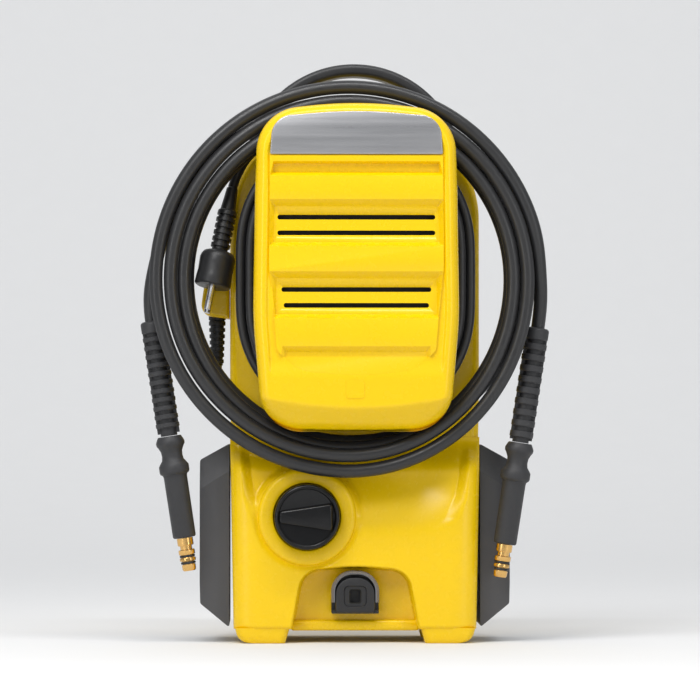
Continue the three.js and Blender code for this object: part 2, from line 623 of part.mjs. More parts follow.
/** The coupling's arched outline, grown at its sides and raised at its top. */
const outletOutline = (side, top) => [
  [-OUTLET_RADIUS - side, OUTLET_Z - 14, 4],
  [OUTLET_RADIUS + side, OUTLET_Z - 14, 4],
  [OUTLET_RADIUS + side, OUTLET_Z + OUTLET_RADIUS - 2 + top, OUTLET_CORNER + side],
  [-OUTLET_RADIUS - side, OUTLET_Z + OUTLET_RADIUS - 2 + top, OUTLET_CORNER + side],
];
const SOCKET_WIDTH = 7.6;
const SOCKET_HEIGHT = 9.4;
const SOCKET_DEEP = 26;
piece("outlet_coupling", black, cut(
  join(
    front(outletOutline(0, 0), [[OUTLET_FRONT, 1.5], [OUTLET_FRONT + 2, 0], [ALCOVE_FLOOR - GAP, 0]], 6),
    rod([0, ALCOVE_FLOOR - 2, OUTLET_Z], [0, HEAD_FRONT - GAP, OUTLET_Z], OUTLET_RADIUS - 5, 20),
  ),
  front(rectangle(0, OUTLET_Z - 1.5, SOCKET_WIDTH, SOCKET_HEIGHT, 1.5),
    [[OUTLET_FRONT - 1, 0], [OUTLET_FRONT + SOCKET_DEEP, 0]], 2),
));
const RELEASE_LOW = OUTLET_Z - 6;
piece("release_button", darkGrey, cut(
  front(outletOutline(GAP + RELEASE_THICK, GAP + RELEASE_TRAVEL + RELEASE_THICK), [[OUTLET_FRONT - 1, 1],
    [OUTLET_FRONT, 0], [OUTLET_FRONT + 9, 0]], 6),
  front(outletOutline(GAP, GAP + RELEASE_TRAVEL), [[OUTLET_FRONT - 3, 0], [OUTLET_FRONT + 11, 0]], 6),
  box(-40, 40, OUTLET_FRONT - 3, OUTLET_FRONT + 12, 0, RELEASE_LOW),
));

const INLET_FRONT = HEAD_REAR + GAP;
piece("inlet_coupling", black, turned([0, INLET_FRONT, OUTLET_Z], [0, BODY_REAR, OUTLET_Z], [
  [0, 5], [0, 9], [BODY_REAR - WALL - INLET_FRONT, 9], [BODY_REAR - WALL - INLET_FRONT, INLET_RADIUS],
  [BODY_REAR + 3 - INLET_FRONT, INLET_RADIUS], [BODY_REAR + 3 - INLET_FRONT, 8.5], [10, 8.5], [10, 5], [0, 5],
], 20));
piece("inlet_filter", steel, turned([0, INLET_FRONT + 11, OUTLET_Z], [0, BODY_REAR, OUTLET_Z],
  [[0, 0], [0, 5], [12, 7.8], [14, 7.8], [14, 0]], 16));

// ---- motor -------------------------------------------------------------------------------------------
const onMotor = (z) => [MOTOR_X, MOTOR_Y, z];
const upright = (x, y, profile, segments) => turned([x, y, 0], [x, y, 1], profile, segments);
const BRACKET_LOW = STATOR_HIGH + 22;
const FAN_LOW = BRACKET_LOW + BEARING_WIDTH + 6;
const FAN_HIGH = FAN_LOW + 18;
const FAN_RADIUS = 40;
const PINION_LOW = 168;
const PINION_HIGH = 190;

piece("motor_stator", copper, upright(MOTOR_X, MOTOR_Y, ring(STATOR_BORE, STATOR_RADIUS, STATOR_LOW, STATOR_HIGH), 28));

/** A toothed wheel about a vertical axis. */
function gearWheel(x, y, teeth, radius, depth, low, high, bore) {
  const outline = Array.from({ length: teeth * 4 }, (_, k) => {
    const angle = ((k + (k % 2 ? 0.2 : -0.2)) * Math.PI) / (2 * teeth);
    const reach = k % 4 < 2 ? radius : radius - depth;
    return [x + reach * Math.cos(angle), y + reach * Math.sin(angle)];
  });
  const wheel = solid(loft([low, high].map((z) => outline.map(([a, b]) => new THREE.Vector3(a, b, z)))));
  return bore ? cut(wheel, rod([x, y, low - 1], [x, y, high + 1], bore, 16)) : wheel;
}

const PINION_TEETH = 9;
const GEAR_TEETH = 42;
const GEAR_RADIUS = GEAR_OFFSET - PINION_RADIUS;
const TOOTH_DEPTH = 1.6;
piece("rotor", steel, join(
  solid(upright(MOTOR_X, MOTOR_Y, [[PINION_LOW, 0], [PINION_LOW, ROTOR_SHAFT - 1], [STATOR_LOW - 8, ROTOR_SHAFT - 1],
    [STATOR_LOW - 8, ROTOR_SHAFT], [STATOR_LOW + 2, ROTOR_SHAFT], [STATOR_LOW + 2, STATOR_BORE - 1],
    [STATOR_HIGH - 2, STATOR_BORE - 1], [STATOR_HIGH - 2, 8], [STATOR_HIGH + 5, 8], [STATOR_HIGH + 5, 12],
    [STATOR_HIGH + 18, 12], [STATOR_HIGH + 18, ROTOR_SHAFT], [FAN_HIGH + 2, ROTOR_SHAFT], [FAN_HIGH + 2, 0]], 20)),
  gearWheel(MOTOR_X, MOTOR_Y, PINION_TEETH, PINION_RADIUS - GAP / 2, TOOTH_DEPTH, PINION_LOW, PINION_HIGH, 0),
));
piece("upper_bearing", steel, upright(MOTOR_X, MOTOR_Y,
  ring(ROTOR_SHAFT + GAP, BEARING_RADIUS, BRACKET_LOW, BRACKET_LOW + BEARING_WIDTH), 16));
piece("lower_bearing", steel, upright(MOTOR_X, MOTOR_Y,
  ring(ROTOR_SHAFT + GAP, BEARING_RADIUS, STATOR_LOW - BEARING_WIDTH, STATOR_LOW), 16));
piece("motor_end_bracket", aluminium, cut(
  solid(upright(MOTOR_X, MOTOR_Y, [[STATOR_HIGH + GAP, STATOR_RADIUS - 4], [STATOR_HIGH + GAP, STATOR_RADIUS],
    [BRACKET_LOW + BEARING_WIDTH - 1, STATOR_RADIUS], [BRACKET_LOW + BEARING_WIDTH - 1, BEARING_RADIUS + GAP],
    [BRACKET_LOW + 2, BEARING_RADIUS + GAP], [BRACKET_LOW + 2, STATOR_RADIUS - 4],
    [STATOR_HIGH + GAP, STATOR_RADIUS - 4]], 28)),
  box(MOTOR_X - 50, MOTOR_X + 50, MOTOR_Y - 12, MOTOR_Y + 12, STATOR_HIGH + 4, BRACKET_LOW - 2),
));
for (const [hand, side] of [["left", -1], ["right", 1]]) {
  const ends = [MOTOR_X + side * (12 + 2 * GAP), MOTOR_X + side * (STATOR_RADIUS - 2)].sort((a, b) => a - b);
  piece(`${hand}_brush_holder`, brass, box(...ends, MOTOR_Y - 5, MOTOR_Y + 5, STATOR_HIGH + 6, STATOR_HIGH + 16));
}

function fan() {
  const hub = solid(upright(MOTOR_X, MOTOR_Y, [[FAN_LOW, ROTOR_SHAFT + GAP], [FAN_LOW, FAN_RADIUS],
    [FAN_LOW + 2, FAN_RADIUS], [FAN_LOW + 2, 10], [FAN_HIGH, 10], [FAN_HIGH, ROTOR_SHAFT + GAP],
    [FAN_LOW, ROTOR_SHAFT + GAP]], 28));
  const blades = Array.from({ length: 9 }, (_, k) => {
    const blade = new THREE.BoxGeometry(FAN_RADIUS - 11, 2, 12);
    blade.translate((FAN_RADIUS + 7) / 2, 0, FAN_LOW + 7.5);
    blade.rotateZ((2 * Math.PI * k) / 9);
    return solid(blade.translate(...onMotor(0)));
  });
  return join(hub, ...blades);
}
piece("cooling_fan", black, fan());

// ---- gear case and drive gear ------------------------------------------------------------------------
const CASE_HIGH = STATOR_LOW - GAP;
const caseOutline = rectangle((MOTOR_X + PUMP_X) / 2, MOTOR_Y, 2 * STATOR_RADIUS + GEAR_OFFSET + 2,
  2 * STATOR_RADIUS + 2, 34);
piece("gear_case", aluminium, cut(
  top(caseOutline, [[CASE_LOW, 0], [CASE_HIGH, 0]], 5),
  top(inset(caseOutline, 4), [[CASE_LOW - 1, 0], [STATOR_LOW - BEARING_WIDTH - GAP, 0]], 5),
  rod(onMotor(STATOR_LOW - BEARING_WIDTH - 2), onMotor(STATOR_LOW + 1), BEARING_RADIUS + GAP, 16),
));
const GEAR_SHAFT = 6;
const SWASH_TILT = 7;
const SWASH_RADIUS = 25;
const SWASH_LOW = CASE_LOW - 2;
const SWASH_THICK = 8;
const SWASH_CENTRE = SWASH_LOW + 10;
const swash = new THREE.CylinderGeometry(SWASH_RADIUS, SWASH_RADIUS, SWASH_THICK, 28).rotateX(Math.PI / 2);
swash.rotateY(THREE.MathUtils.degToRad(SWASH_TILT));
piece("drive_gear", steel, join(
  gearWheel(PUMP_X, MOTOR_Y, GEAR_TEETH, GEAR_RADIUS - GAP / 2, TOOTH_DEPTH, PINION_LOW + 4, PINION_HIGH - 4, 0),
  rod([PUMP_X, MOTOR_Y, SWASH_LOW - 20], [PUMP_X, MOTOR_Y, STATOR_LOW - BEARING_WIDTH - 4], GEAR_SHAFT, 16),
));
piece("gear_bearing", steel, upright(PUMP_X, MOTOR_Y, ring(GEAR_SHAFT + GAP, 15, PINION_HIGH + 2,
  STATOR_LOW - BEARING_WIDTH - 2 * GAP), 18));
piece("wobble_plate", aluminium, cut(
  solid(swash.translate(PUMP_X, MOTOR_Y, SWASH_CENTRE)),
  rod([PUMP_X, MOTOR_Y, SWASH_LOW - 10], [PUMP_X, MOTOR_Y, SWASH_LOW + 30], GEAR_SHAFT + GAP, 16),
));

// ---- pump --------------------------------------------------------------------------------------------
const PUMP_HIGH = CASE_LOW - GAP;
const BORE_LOW = PUMP_LOW + 4;
const pistonAt = (k) => {
  const angle = (2 * Math.PI * k) / 3;
  return [PUMP_X + PISTON_CIRCLE * Math.cos(angle), MOTOR_Y + PISTON_CIRCLE * Math.sin(angle)];
};
const SPRING_RADIUS = PISTON_RADIUS + 2;
const SPRING_LOW = PUMP_LOW + 26;
const SWASH_DIP = SWASH_RADIUS * Math.sin(THREE.MathUtils.degToRad(SWASH_TILT));
const PISTON_TOP = SWASH_CENTRE - SWASH_THICK / 2 - SWASH_DIP - GAP; // under the plate wherever it turns
const bores = [0, 1, 2].flatMap((k) => {
  const [x, y] = pistonAt(k);
  return [rod([x, y, BORE_LOW], [x, y, PUMP_HIGH + 1], PISTON_RADIUS + GAP, 14),
    rod([x, y, SPRING_LOW - GAP], [x, y, PUMP_HIGH + 1], SPRING_RADIUS + GAP, 14)];
});
piece("pump_housing", aluminium, cut(
  rod([PUMP_X, MOTOR_Y, PUMP_LOW], [PUMP_X, MOTOR_Y, PUMP_HIGH], PUMP_RADIUS, 28),
  rod([PUMP_X, MOTOR_Y, PUMP_HIGH - 14], [PUMP_X, MOTOR_Y, PUMP_HIGH + 1], PUMP_RADIUS - 6, 28),
  rod([PUMP_X, MOTOR_Y, SWASH_LOW - 22], [PUMP_X, MOTOR_Y, PUMP_HIGH + 1], GEAR_SHAFT + GAP, 16),
  ...bores,
));
for (let k = 0; k < 3; k++) {
  const [x, y] = pistonAt(k);
  piece(`piston_${k + 1}`, steel, upright(x, y, [[BORE_LOW + GAP + 6, 0], [BORE_LOW + GAP + 6, PISTON_RADIUS],
    [PISTON_TOP - 3, PISTON_RADIUS], [PISTON_TOP - 3, SPRING_RADIUS], [PISTON_TOP, SPRING_RADIUS - 2],
    [PISTON_TOP, 0]], 14));
  piece(`piston_spring_${k + 1}`, steel, upright(x, y, ring(PISTON_RADIUS + GAP, SPRING_RADIUS, SPRING_LOW,
    PISTON_TOP - 3 - GAP), 14));
}
piece("pump_head", aluminium, cut(
  top(rectangle((PUMP_X - 12) / 2 + 8, MOTOR_Y - 1, 66, HEAD_REAR - HEAD_FRONT, 6),
    [[HEAD_LOW, 2], [HEAD_LOW + 2, 0], [PUMP_LOW - GAP, 0]], 3),
  rod([0, HEAD_FRONT - 1, OUTLET_Z], [0, HEAD_FRONT + 12, OUTLET_Z], 4, 12),
  rod([0, HEAD_REAR - 12, OUTLET_Z], [0, HEAD_REAR + 1, OUTLET_Z], 4, 12),
));

// ---- wiring ------------------------------------------------------------------------------------------
const SWITCH_TOP = KNOB_Z + 11 + GAP;
piece("supply_wire", rubber, tube([[-HALF + 1, 0, BRACKET_Z], [-82, 0, BRACKET_Z - 2], [-74, 2, 240],
  [-72, 4, 200], [-68, 8, 160], [KNOB_X - 8, SWITCH_FRONT + 12, 125],
  [KNOB_X - 7, SWITCH_FRONT + 12, SWITCH_TOP]], WIRE, 24, 8));

// ---- mains cord --------------------------------------------------------------------------------------
const CORD_GROWTH = CORD * CORD_LAYERS + 0.6;
const WINDING_FRONT = NECK_FRONT + GAP;
const WINDING_BACK = WINDING_FRONT + CORD * CORD_COLUMNS + 0.4;
const grownNeck = (by) => inset(neckOutline, -by);
piece("cord_winding", rubber, cut(
  front(grownNeck(GAP + CORD_GROWTH), [[WINDING_FRONT, 2], [WINDING_FRONT + 3, 0], [WINDING_BACK - 3, 0],
    [WINDING_BACK, 2]], 8),
  front(grownNeck(GAP), [[WINDING_FRONT - 1, 0], [WINDING_BACK + 1, 0]], 8),
));
piece("cord_relief", rubber, turned([RELIEF_X, RELIEF_Y, RELIEF_TOP], [RELIEF_X, RELIEF_Y, 0],
  [[0, 0], [0, RELIEF_RADIUS], [22, RELIEF_RADIUS - 0.4], [RELIEF_TOP - RELIEF_BOTTOM, 5],
    [RELIEF_TOP - RELIEF_BOTTOM, 0]], 14));
const LEAD_Y = WINDING_BACK + CORD / 2 + GAP;
piece("cord_lead", rubber, tube([[RELIEF_X, RELIEF_Y, RELIEF_BOTTOM - GAP], [RELIEF_X, RELIEF_Y, 201],
  [-104, -10, 188], [-98.5, -20, 178], [-88.5, -26, 171.5], [-75, -27, 169.5], [-62, -27, 170],
  [-52, -27.8, 172], [-43, -30.2, 174], [-34, LEAD_Y, 175.5]], CORD, 24, 8));
piece("cord_tail", rubber, tube([[-34, LEAD_Y, 378], [-43, -30, 379.4], [-51, -27.2, 380.4],
  [-61, -26.7, 380.6], [-73, -26.4, 377.5], [-82.5, -26.3, 369.5], [-88.3, -26.5, 359], [-91.6, -27.5, 350],
  [-93, -28.3, 345.6]], CORD, 20, 8));

const PLUG_NECK_TOP = new THREE.Vector3(-93.2, -28.4, 345);
const PLUG_FACE = new THREE.Vector3(-108.4, -39, 270);
const PLUG_RADIUS = 13.8;
const PLUG_DEEPER = 1.25; // the body is an oval, deeper than it is wide
const PIN_SPACING = 19;
const PIN_RADIUS = 2.4;
const PIN_LONG = 19;
const PIN_SEAT = 8;
const plugAxis = PLUG_FACE.clone().sub(PLUG_NECK_TOP);
const PLUG_LONG = plugAxis.length();
plugAxis.normalize();
const plugAcross = new THREE.Vector3(0, 1, 0).addScaledVector(plugAxis, -plugAxis.y).normalize();
const pinLine = (side, from, to) => [from, to].map((along) => PLUG_FACE.clone()
  .addScaledVector(plugAxis, along).addScaledVector(plugAcross, (side * PIN_SPACING) / 2).toArray());

function plugBody() {
  const body = turned([0, 0, 0], [0, 0, -1], [[0, 0], [0, 4.4], [18, 6], [18, 7.2], [50, 7.4], [50, 11],
    [54, PLUG_RADIUS - 0.5], [PLUG_LONG - 2, PLUG_RADIUS], [PLUG_LONG, PLUG_RADIUS - 1], [PLUG_LONG, 0]], 20);
  body.scale(1, PLUG_DEEPER, 1);
  const turn = new THREE.Matrix4().makeBasis(
    plugAcross.clone().cross(plugAxis.clone().negate()), plugAcross, plugAxis.clone().negate());
  body.applyMatrix4(turn.setPosition(PLUG_NECK_TOP));
  return cut(solid(body), ...[-1, 1].map((side) => rod(...pinLine(side, -PIN_SEAT - GAP, 1), PIN_RADIUS + GAP, 10)));
}

piece("plug_body", rubber, plugBody());
piece("front_plug_pin", brass, rod(...pinLine(-1, -PIN_SEAT, PIN_LONG), PIN_RADIUS, 10));
piece("rear_plug_pin", brass, rod(...pinLine(1, -PIN_SEAT, PIN_LONG), PIN_RADIUS, 10));

// ---- high-pressure hose ------------------------------------------------------------------------------
piece("hose_coil", rubber, turned([RING_X, RING_FRONT, RING_Z], [RING_X, 0, RING_Z], [
  [0, RING_INNER + 2], [0, RING_OUTER - 4], [4, RING_OUTER], [RING_STEP_BACK - RING_FRONT, RING_OUTER],
  [RING_STEP_BACK - RING_FRONT, RING_STEP], [RING_BACK - RING_FRONT, RING_STEP - 1],
  [RING_BACK - RING_FRONT, RING_INNER], [2, RING_INNER], [0, RING_INNER + 2],
], 40));

const SLEEVE_LONG = 88;
const GRIP_LONG = 77.5;
const CONNECTOR_LONG = 25;

/** A hose end: the hose's tail from the coil's back, then sleeve, grip and brass connector on one axis. */
function hoseEnd(hand, coilExit, sleeveTop, axisFoot) {
  const start = new THREE.Vector3(...sleeveTop);
  const axis = new THREE.Vector3(...axisFoot).sub(start).normalize();
  const on = (along) => start.clone().addScaledVector(axis, along).toArray();
  piece(`${hand}_hose_tail`, rubber, tube([coilExit, on(-12), on(-GAP)], HOSE, 5, 8));
  piece(`${hand}_hose_sleeve`, rubber, turned(on(0), axisFoot,
    [[0, 0], [0, 8.4], [8, 9], [SLEEVE_LONG, 8.6], [SLEEVE_LONG, 0]], 14));
  piece(`${hand}_hose_grip`, black, turned(on(SLEEVE_LONG + GAP), axisFoot, [[0, 0], [0, 9], [3, 10.6],
    [7, 10.2], [12, 7.8], [18, 8], [22, 11.2], [27, 11.2], [30, 8.8], [GRIP_LONG, 8.6], [GRIP_LONG, 0]], 16));
  piece(`${hand}_hose_connector`, brass, turned(on(SLEEVE_LONG + GRIP_LONG + 2 * GAP), axisFoot,
    [[0, 0], [0, 6.1], [6, 6.1], [6, 4.6], [9, 4.6], [9, 6.1], [15, 6.1], [15, 4.4], [18, 4.4], [18, 5.6],
      [CONNECTOR_LONG - 1, 5.2], [CONNECTOR_LONG, 4.4], [CONNECTOR_LONG, 0]], 14));
}

hoseEnd("right", [140.8, -41.4, 266], [138.5, HOSE_END_Y, 239], [109.6, HOSE_END_Y, 50.4]);
hoseEnd("left", [-150.6, -41.4, 270], [-154, HOSE_END_Y, 244], [-126.4, HOSE_END_Y, 62]);

export default root;
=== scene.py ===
"""The looks of a compact pressure washer: shells, cover, cords, hose ends and studio, on the CAD frame."""

import math

import bmesh
import bpy
import numpy as np
from mathutils import Matrix, Vector


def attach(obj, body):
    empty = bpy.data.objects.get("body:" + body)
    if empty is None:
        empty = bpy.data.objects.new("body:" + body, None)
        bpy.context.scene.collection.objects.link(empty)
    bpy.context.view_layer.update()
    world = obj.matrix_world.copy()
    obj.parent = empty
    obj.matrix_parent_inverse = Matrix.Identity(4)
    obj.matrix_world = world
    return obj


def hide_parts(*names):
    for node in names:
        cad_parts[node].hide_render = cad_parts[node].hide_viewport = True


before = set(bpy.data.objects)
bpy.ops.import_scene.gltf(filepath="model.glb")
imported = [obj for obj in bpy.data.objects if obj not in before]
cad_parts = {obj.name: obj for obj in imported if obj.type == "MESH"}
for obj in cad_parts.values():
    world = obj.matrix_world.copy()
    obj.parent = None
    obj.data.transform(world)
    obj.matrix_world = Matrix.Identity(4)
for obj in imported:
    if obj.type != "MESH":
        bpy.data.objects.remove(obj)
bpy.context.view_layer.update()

MM = 0.001


# ---- camera ------------------------------------------------------------------------------------------
CAMERA_AT = Vector((-0.062, -3.2, 0.172))
CAMERA_TOWARDS = Vector((-0.004, -0.04, 0.222))
VIEW_WIDTH = 0.53
SENSOR = 36.0


def make_camera():
    data = bpy.data.cameras.new("camera")
    data.sensor_width = SENSOR
    data.lens = SENSOR * (CAMERA_TOWARDS - CAMERA_AT).length / VIEW_WIDTH
    camera = bpy.data.objects.new("camera", data)
    camera.location = CAMERA_AT
    camera.rotation_euler = (CAMERA_TOWARDS - CAMERA_AT).to_track_quat("-Z", "Y").to_euler()
    bpy.context.scene.collection.objects.link(camera)
    bpy.context.scene.camera = camera


make_camera()


# ---- materials ---------------------------------------------------------------------------------------
def node(tree, kind, at=(0, 0), **values):
    made = tree.nodes.new(kind)
    made.location = at
    for name, value in values.items():
        setattr(made, name, value)
    return made


def noise(tree, scale, detail=3.0, stretch=(1, 1, 1)):
    """Noise in object space; scale is in lumps per metre, and stretch draws it out along an axis."""
    where = node(tree, "ShaderNodeTexCoord")
    mapping = node(tree, "ShaderNodeMapping")
    mapping.inputs["Scale"].default_value = stretch
    made = node(tree, "ShaderNodeTexNoise")
    made.inputs["Scale"].default_value = scale
    made.inputs["Detail"].default_value = detail
    tree.links.new(where.outputs["Object"], mapping.inputs["Vector"])
    tree.links.new(mapping.outputs["Vector"], made.inputs["Vector"])
    return made.outputs["Fac"]


def spread(tree, source, low, high, out_low, out_high):
    made = node(tree, "ShaderNodeMapRange")
    made.inputs["From Min"].default_value = low
    made.inputs["From Max"].default_value = high
    made.inputs["To Min"].default_value = out_low
    made.inputs["To Max"].default_value = out_high
    tree.links.new(source, made.inputs["Value"])
    return made.outputs["Result"]


def finish(name, color, roughness, metallic=0.0, grain=0.6, grain_depth=0.02, uneven=0.06, mottle=0.04,
           coat=0.0, brushed=None, specular=0.5):
    """A surface with its own grain (its size in mm and depth in mm), patchy roughness and mottled colour."""
    made = bpy.data.materials.new(name)
    made.use_nodes = True
    tree = made.node_tree
    shader = tree.nodes["Principled BSDF"]
    shader.inputs["Metallic"].default_value = metallic
    shader.inputs["Coat Weight"].default_value = coat
    shader.inputs["Coat Roughness"].default_value = 0.12
    shader.inputs["Specular IOR Level"].default_value = specular
    mix = node(tree, "ShaderNodeMix", data_type="RGBA")
    mix.inputs["A"].default_value = (*[c * (1 - mottle) for c in color], 1)
    mix.inputs["B"].default_value = (*[min(1, c * (1 + mottle)) for c in color], 1)
    tree.links.new(noise(tree, 25, 4), mix.inputs["Factor"])
    tree.links.new(mix.outputs["Result"], shader.inputs["Base Color"])
    stretch = brushed or (1, 1, 1)
    patches = noise(tree, 1 / (6 * MM), 5, stretch)
    tree.links.new(spread(tree, patches, 0.3, 0.7, roughness - uneven, roughness + uneven),
                   shader.inputs["Roughness"])
    bump = node(tree, "ShaderNodeBump")
    bump.inputs["Strength"].default_value = 1.0
    bump.inputs["Distance"].default_value = grain_depth * MM
    tree.links.new(noise(tree, 1 / (grain * MM), 2, stretch), bump.inputs["Height"])
    tree.links.new(bump.outputs["Normal"], shader.inputs["Normal"])
    return made


YELLOW = finish("yellow_plastic", (0.86, 0.56, 0.0), 0.27, grain=0.8, grain_depth=0.0018, uneven=0.012,
                mottle=0.006, specular=0.42)
DARK_GREY = finish("dark_grey_plastic", (0.062, 0.062, 0.066), 0.5, grain=0.35, grain_depth=0.018)
BLACK = finish("black_plastic", (0.016, 0.016, 0.017), 0.46, grain=0.4, grain_depth=0.02)
GLOSS = finish("gloss_black_plastic", (0.006, 0.006, 0.0065), 0.16, grain=1.2, grain_depth=0.0015,
               specular=0.3)
# near-black painted shade for the walls of cut slots, holes and sockets, whose real walls are the part's own
# plastic in shadow
PAINTED_SHADE = finish("painted_shade_inside", (0.012, 0.011, 0.008), 0.8, grain=0.6)
SILVER = finish("brushed_badge", (0.42, 0.42, 0.43), 0.34, metallic=0.85, grain=0.25, grain_depth=0.006,
                brushed=(0.04, 1, 1), uneven=0.08)
HOSE_SKIN = finish("hose_rubber", (0.021, 0.021, 0.022), 0.36, grain=0.9, grain_depth=0.012, uneven=0.08)
CORD_SKIN = finish("cord_rubber", (0.015, 0.015, 0.016), 0.42, grain=0.7, grain_depth=0.012, uneven=0.08)
SLEEVE = finish("sleeve_rubber", (0.028, 0.028, 0.030), 0.55, grain=0.4, grain_depth=0.02)
BRASS = finish("brass", (0.75, 0.46, 0.16), 0.24, metallic=1.0, grain=0.3, grain_depth=0.003, uneven=0.08)
STEEL = finish("steel", (0.52, 0.52, 0.54), 0.3, metallic=1.0, grain=0.3, grain_depth=0.003, uneven=0.08)
ALUMINIUM = finish("cast_aluminium", (0.6, 0.6, 0.62), 0.45, metallic=1.0, grain=0.8, grain_depth=0.03)
COPPER = finish("stator_copper", (0.55, 0.24, 0.11), 0.4, metallic=0.8, grain=0.9, grain_depth=0.05,
                brushed=(1, 1, 0.1))


# ---- mesh helpers ------------------------------------------------------------------------------------
def add_object(name, data):
    made = bpy.data.objects.new(name, data)
    bpy.context.scene.collection.objects.link(made)
    return made


def mesh_object(name, parts, materials, sharp=38):
    """One object from parts, each (vertices in mm, faces) or (vertices, faces, material index)."""
    vertices, faces, slots = [], [], []
    for part in parts:
        base = len(vertices)
        vertices += [tuple(c * MM for c in v) for v in part[0]]
        faces += [tuple(base + i for i in face) for face in part[1]]
        slots += [part[2] if len(part) > 2 else 0] * len(part[1])
    data = bpy.data.meshes.new(name)
    data.from_pydata(vertices, [], faces)
    data.polygons.foreach_set("material_index", slots)
    for each in materials:
        data.materials.append(each)
    work = bmesh.new()
    work.from_mesh(data)
    bmesh.ops.remove_doubles(work, verts=work.verts, dist=1e-6)
    bmesh.ops.dissolve_degenerate(work, edges=work.edges, dist=1e-7)
    bmesh.ops.recalc_face_normals(work, faces=work.faces)
    work.to_mesh(data)
    work.free()
    data.shade_smooth()
    data.set_sharp_from_angle(angle=math.radians(sharp))
    return add_object(name, data)


def dress(piece, body, slot, *nodes):
    """Put a finished piece on a body, in place of CAD nodes. Its slot argument, the record's material slot,
    is not used.
    """
    if nodes:
        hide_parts(*nodes)
    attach(piece, body)
    return piece


def inset(corners, distance):
    """Corners [a, b, radius], anticlockwise, moved inwards by a distance."""
    moved = []
    for i, (a, b, radius) in enumerate(corners):
        before, after = corners[i - 1], corners[(i + 1) % len(corners)]
        into = Vector((a - before[0], b - before[1])).normalized()
        out = Vector((after[0] - a, after[1] - b)).normalized()
        turn = math.copysign(1, into.x * out.y - into.y * out.x)
        mitre = Vector((-into.y - out.y, into.x + out.x)) * (distance / (1 + into.dot(out)))
        moved.append((a + mitre.x, b + mitre.y, max(radius - turn * distance, 0.2)))
    return moved


def rounded(corners, steps=8):
    """The outline's points, its corners drawn as arcs."""
    points = []
    for i, (a, b, radius) in enumerate(corners):
        here = Vector((a, b))
        back = Vector(corners[i - 1][:2]) - here
        on = Vector(corners[(i + 1) % len(corners)][:2]) - here
        half = back.angle(on) / 2
        reach = min(radius / math.tan(half), 0.49 * min(back.length, on.length))
        bend = reach * math.tan(half)
        centre = here + (back.normalized() + on.normalized()).normalized() * (bend / math.sin(half))
        start = here + back.normalized() * reach - centre
        end = here + on.normalized() * reach - centre
        first = math.atan2(start.y, start.x)
        sweep = (math.atan2(end.y, end.x) - first + math.pi) % (2 * math.pi) - math.pi
        for k in range(steps + 1):
            angle = first + sweep * k / steps
            points.append((centre.x + bend * math.cos(angle), centre.y + bend * math.sin(angle)))
    return points


def skin(rings, closed=True):
    """Faces through rings of equally many points, with flat ends if closed."""
    count = len(rings[0])
    vertices = [p for one in rings for p in one]
    faces = []
    for r in range(len(rings) - 1):
        for i in range(count):
            a, b = r * count + i, r * count + (i + 1) % count
            faces.append((a, b, b + count, a + count))
    if closed:
        faces.append(tuple(reversed(range(count))))
        faces.append(tuple(range((len(rings) - 1) * count, len(rings) * count)))
    return vertices, faces


def front_loft(corners, sections, steps=8):
    """A body with one outline seen from the front; sections are (y, inset)."""
    return skin([[(x, y, z) for x, z in rounded(inset(corners, d), steps)] for y, d in sections])


def rounding(start, end, radius, steps=6):
    """Sections from an inset edge at start to full size, radius further on towards end."""
    way = math.copysign(1, end - start)
    return [(start + way * radius * (1 - math.cos(a)), radius * (1 - math.sin(a)))
            for a in (math.pi / 2 * k / steps for k in range(steps + 1))]


def rectangle(a, b, width, height, radius=0.3):
    w, h = width / 2, height / 2
    return [(a - w, b - h, radius), (a + w, b - h, radius), (a + w, b + h, radius), (a - w, b + h, radius)]


def turned(start, towards, profile, segments=48):
    """A turned body in mm: profile is (distance along the axis, radius), from a start towards a point."""
    start, towards = Vector(start), Vector(towards)
    axis = (towards - start).normalized()
    side = axis.orthogonal().normalized()
    up = axis.cross(side)
    rings = []
    for along, radius in profile:
        centre = start + axis * along
        rings.append([tuple(centre + (side * math.cos(t) + up * math.sin(t)) * max(radius, 0.01))
                      for t in (2 * math.pi * k / segments for k in range(segments))])
    return skin(rings)


def turned_ring(start, towards, profile, segments=48):
    """A turned body round a hole: its last circle joins its first."""
    vertices, faces = turned(start, towards, profile, segments)
    last = (len(profile) - 1) * segments
    closing = [(last + i, last + (i + 1) % segments, (i + 1) % segments, i) for i in range(segments)]
    return vertices, faces[:-2] + closing


def smooth(low, high, value):
    t = np.clip((value - low) / (high - low), 0, 1)
    return t * t * (3 - 2 * t)


def bevelled(piece, width, segments=3, angle=30):
    """Round every sharp edge, and keep flat faces flat."""
    bevel = piece.modifiers.new("edge_rounding", "BEVEL")
    bevel.width = width * MM
    bevel.segments = segments
    bevel.limit_method = "ANGLE"
    bevel.angle_limit = math.radians(angle)
    bevel.harden_normals = True
    return piece


def carve(piece, parts, slots=None):
    """Cut closed parts out of a piece, and keep the result as its mesh."""
    # the cut walls take the given material, by default the near-black painted shade
    cutter = mesh_object("cutter", parts, [slots or PAINTED_SHADE])
    cut = piece.modifiers.new("cut", "BOOLEAN")
    cut.operation = "DIFFERENCE"
    cut.solver = "EXACT"
    cut.material_mode = "TRANSFER"
    cut.object = cutter
    evaluated = piece.evaluated_get(bpy.context.evaluated_depsgraph_get())
    made = bpy.data.meshes.new_from_object(evaluated)
    old = piece.data
    piece.modifiers.clear()
    piece.data = made
    bpy.data.meshes.remove(old)
    bpy.data.objects.remove(cutter)
    made.shade_smooth()
    made.set_sharp_from_angle(angle=math.radians(32))
    return piece


# ---- mains cord and high-pressure hose ----------------------------------------------------------------
CORD = 7.4
HOSE = 10.4


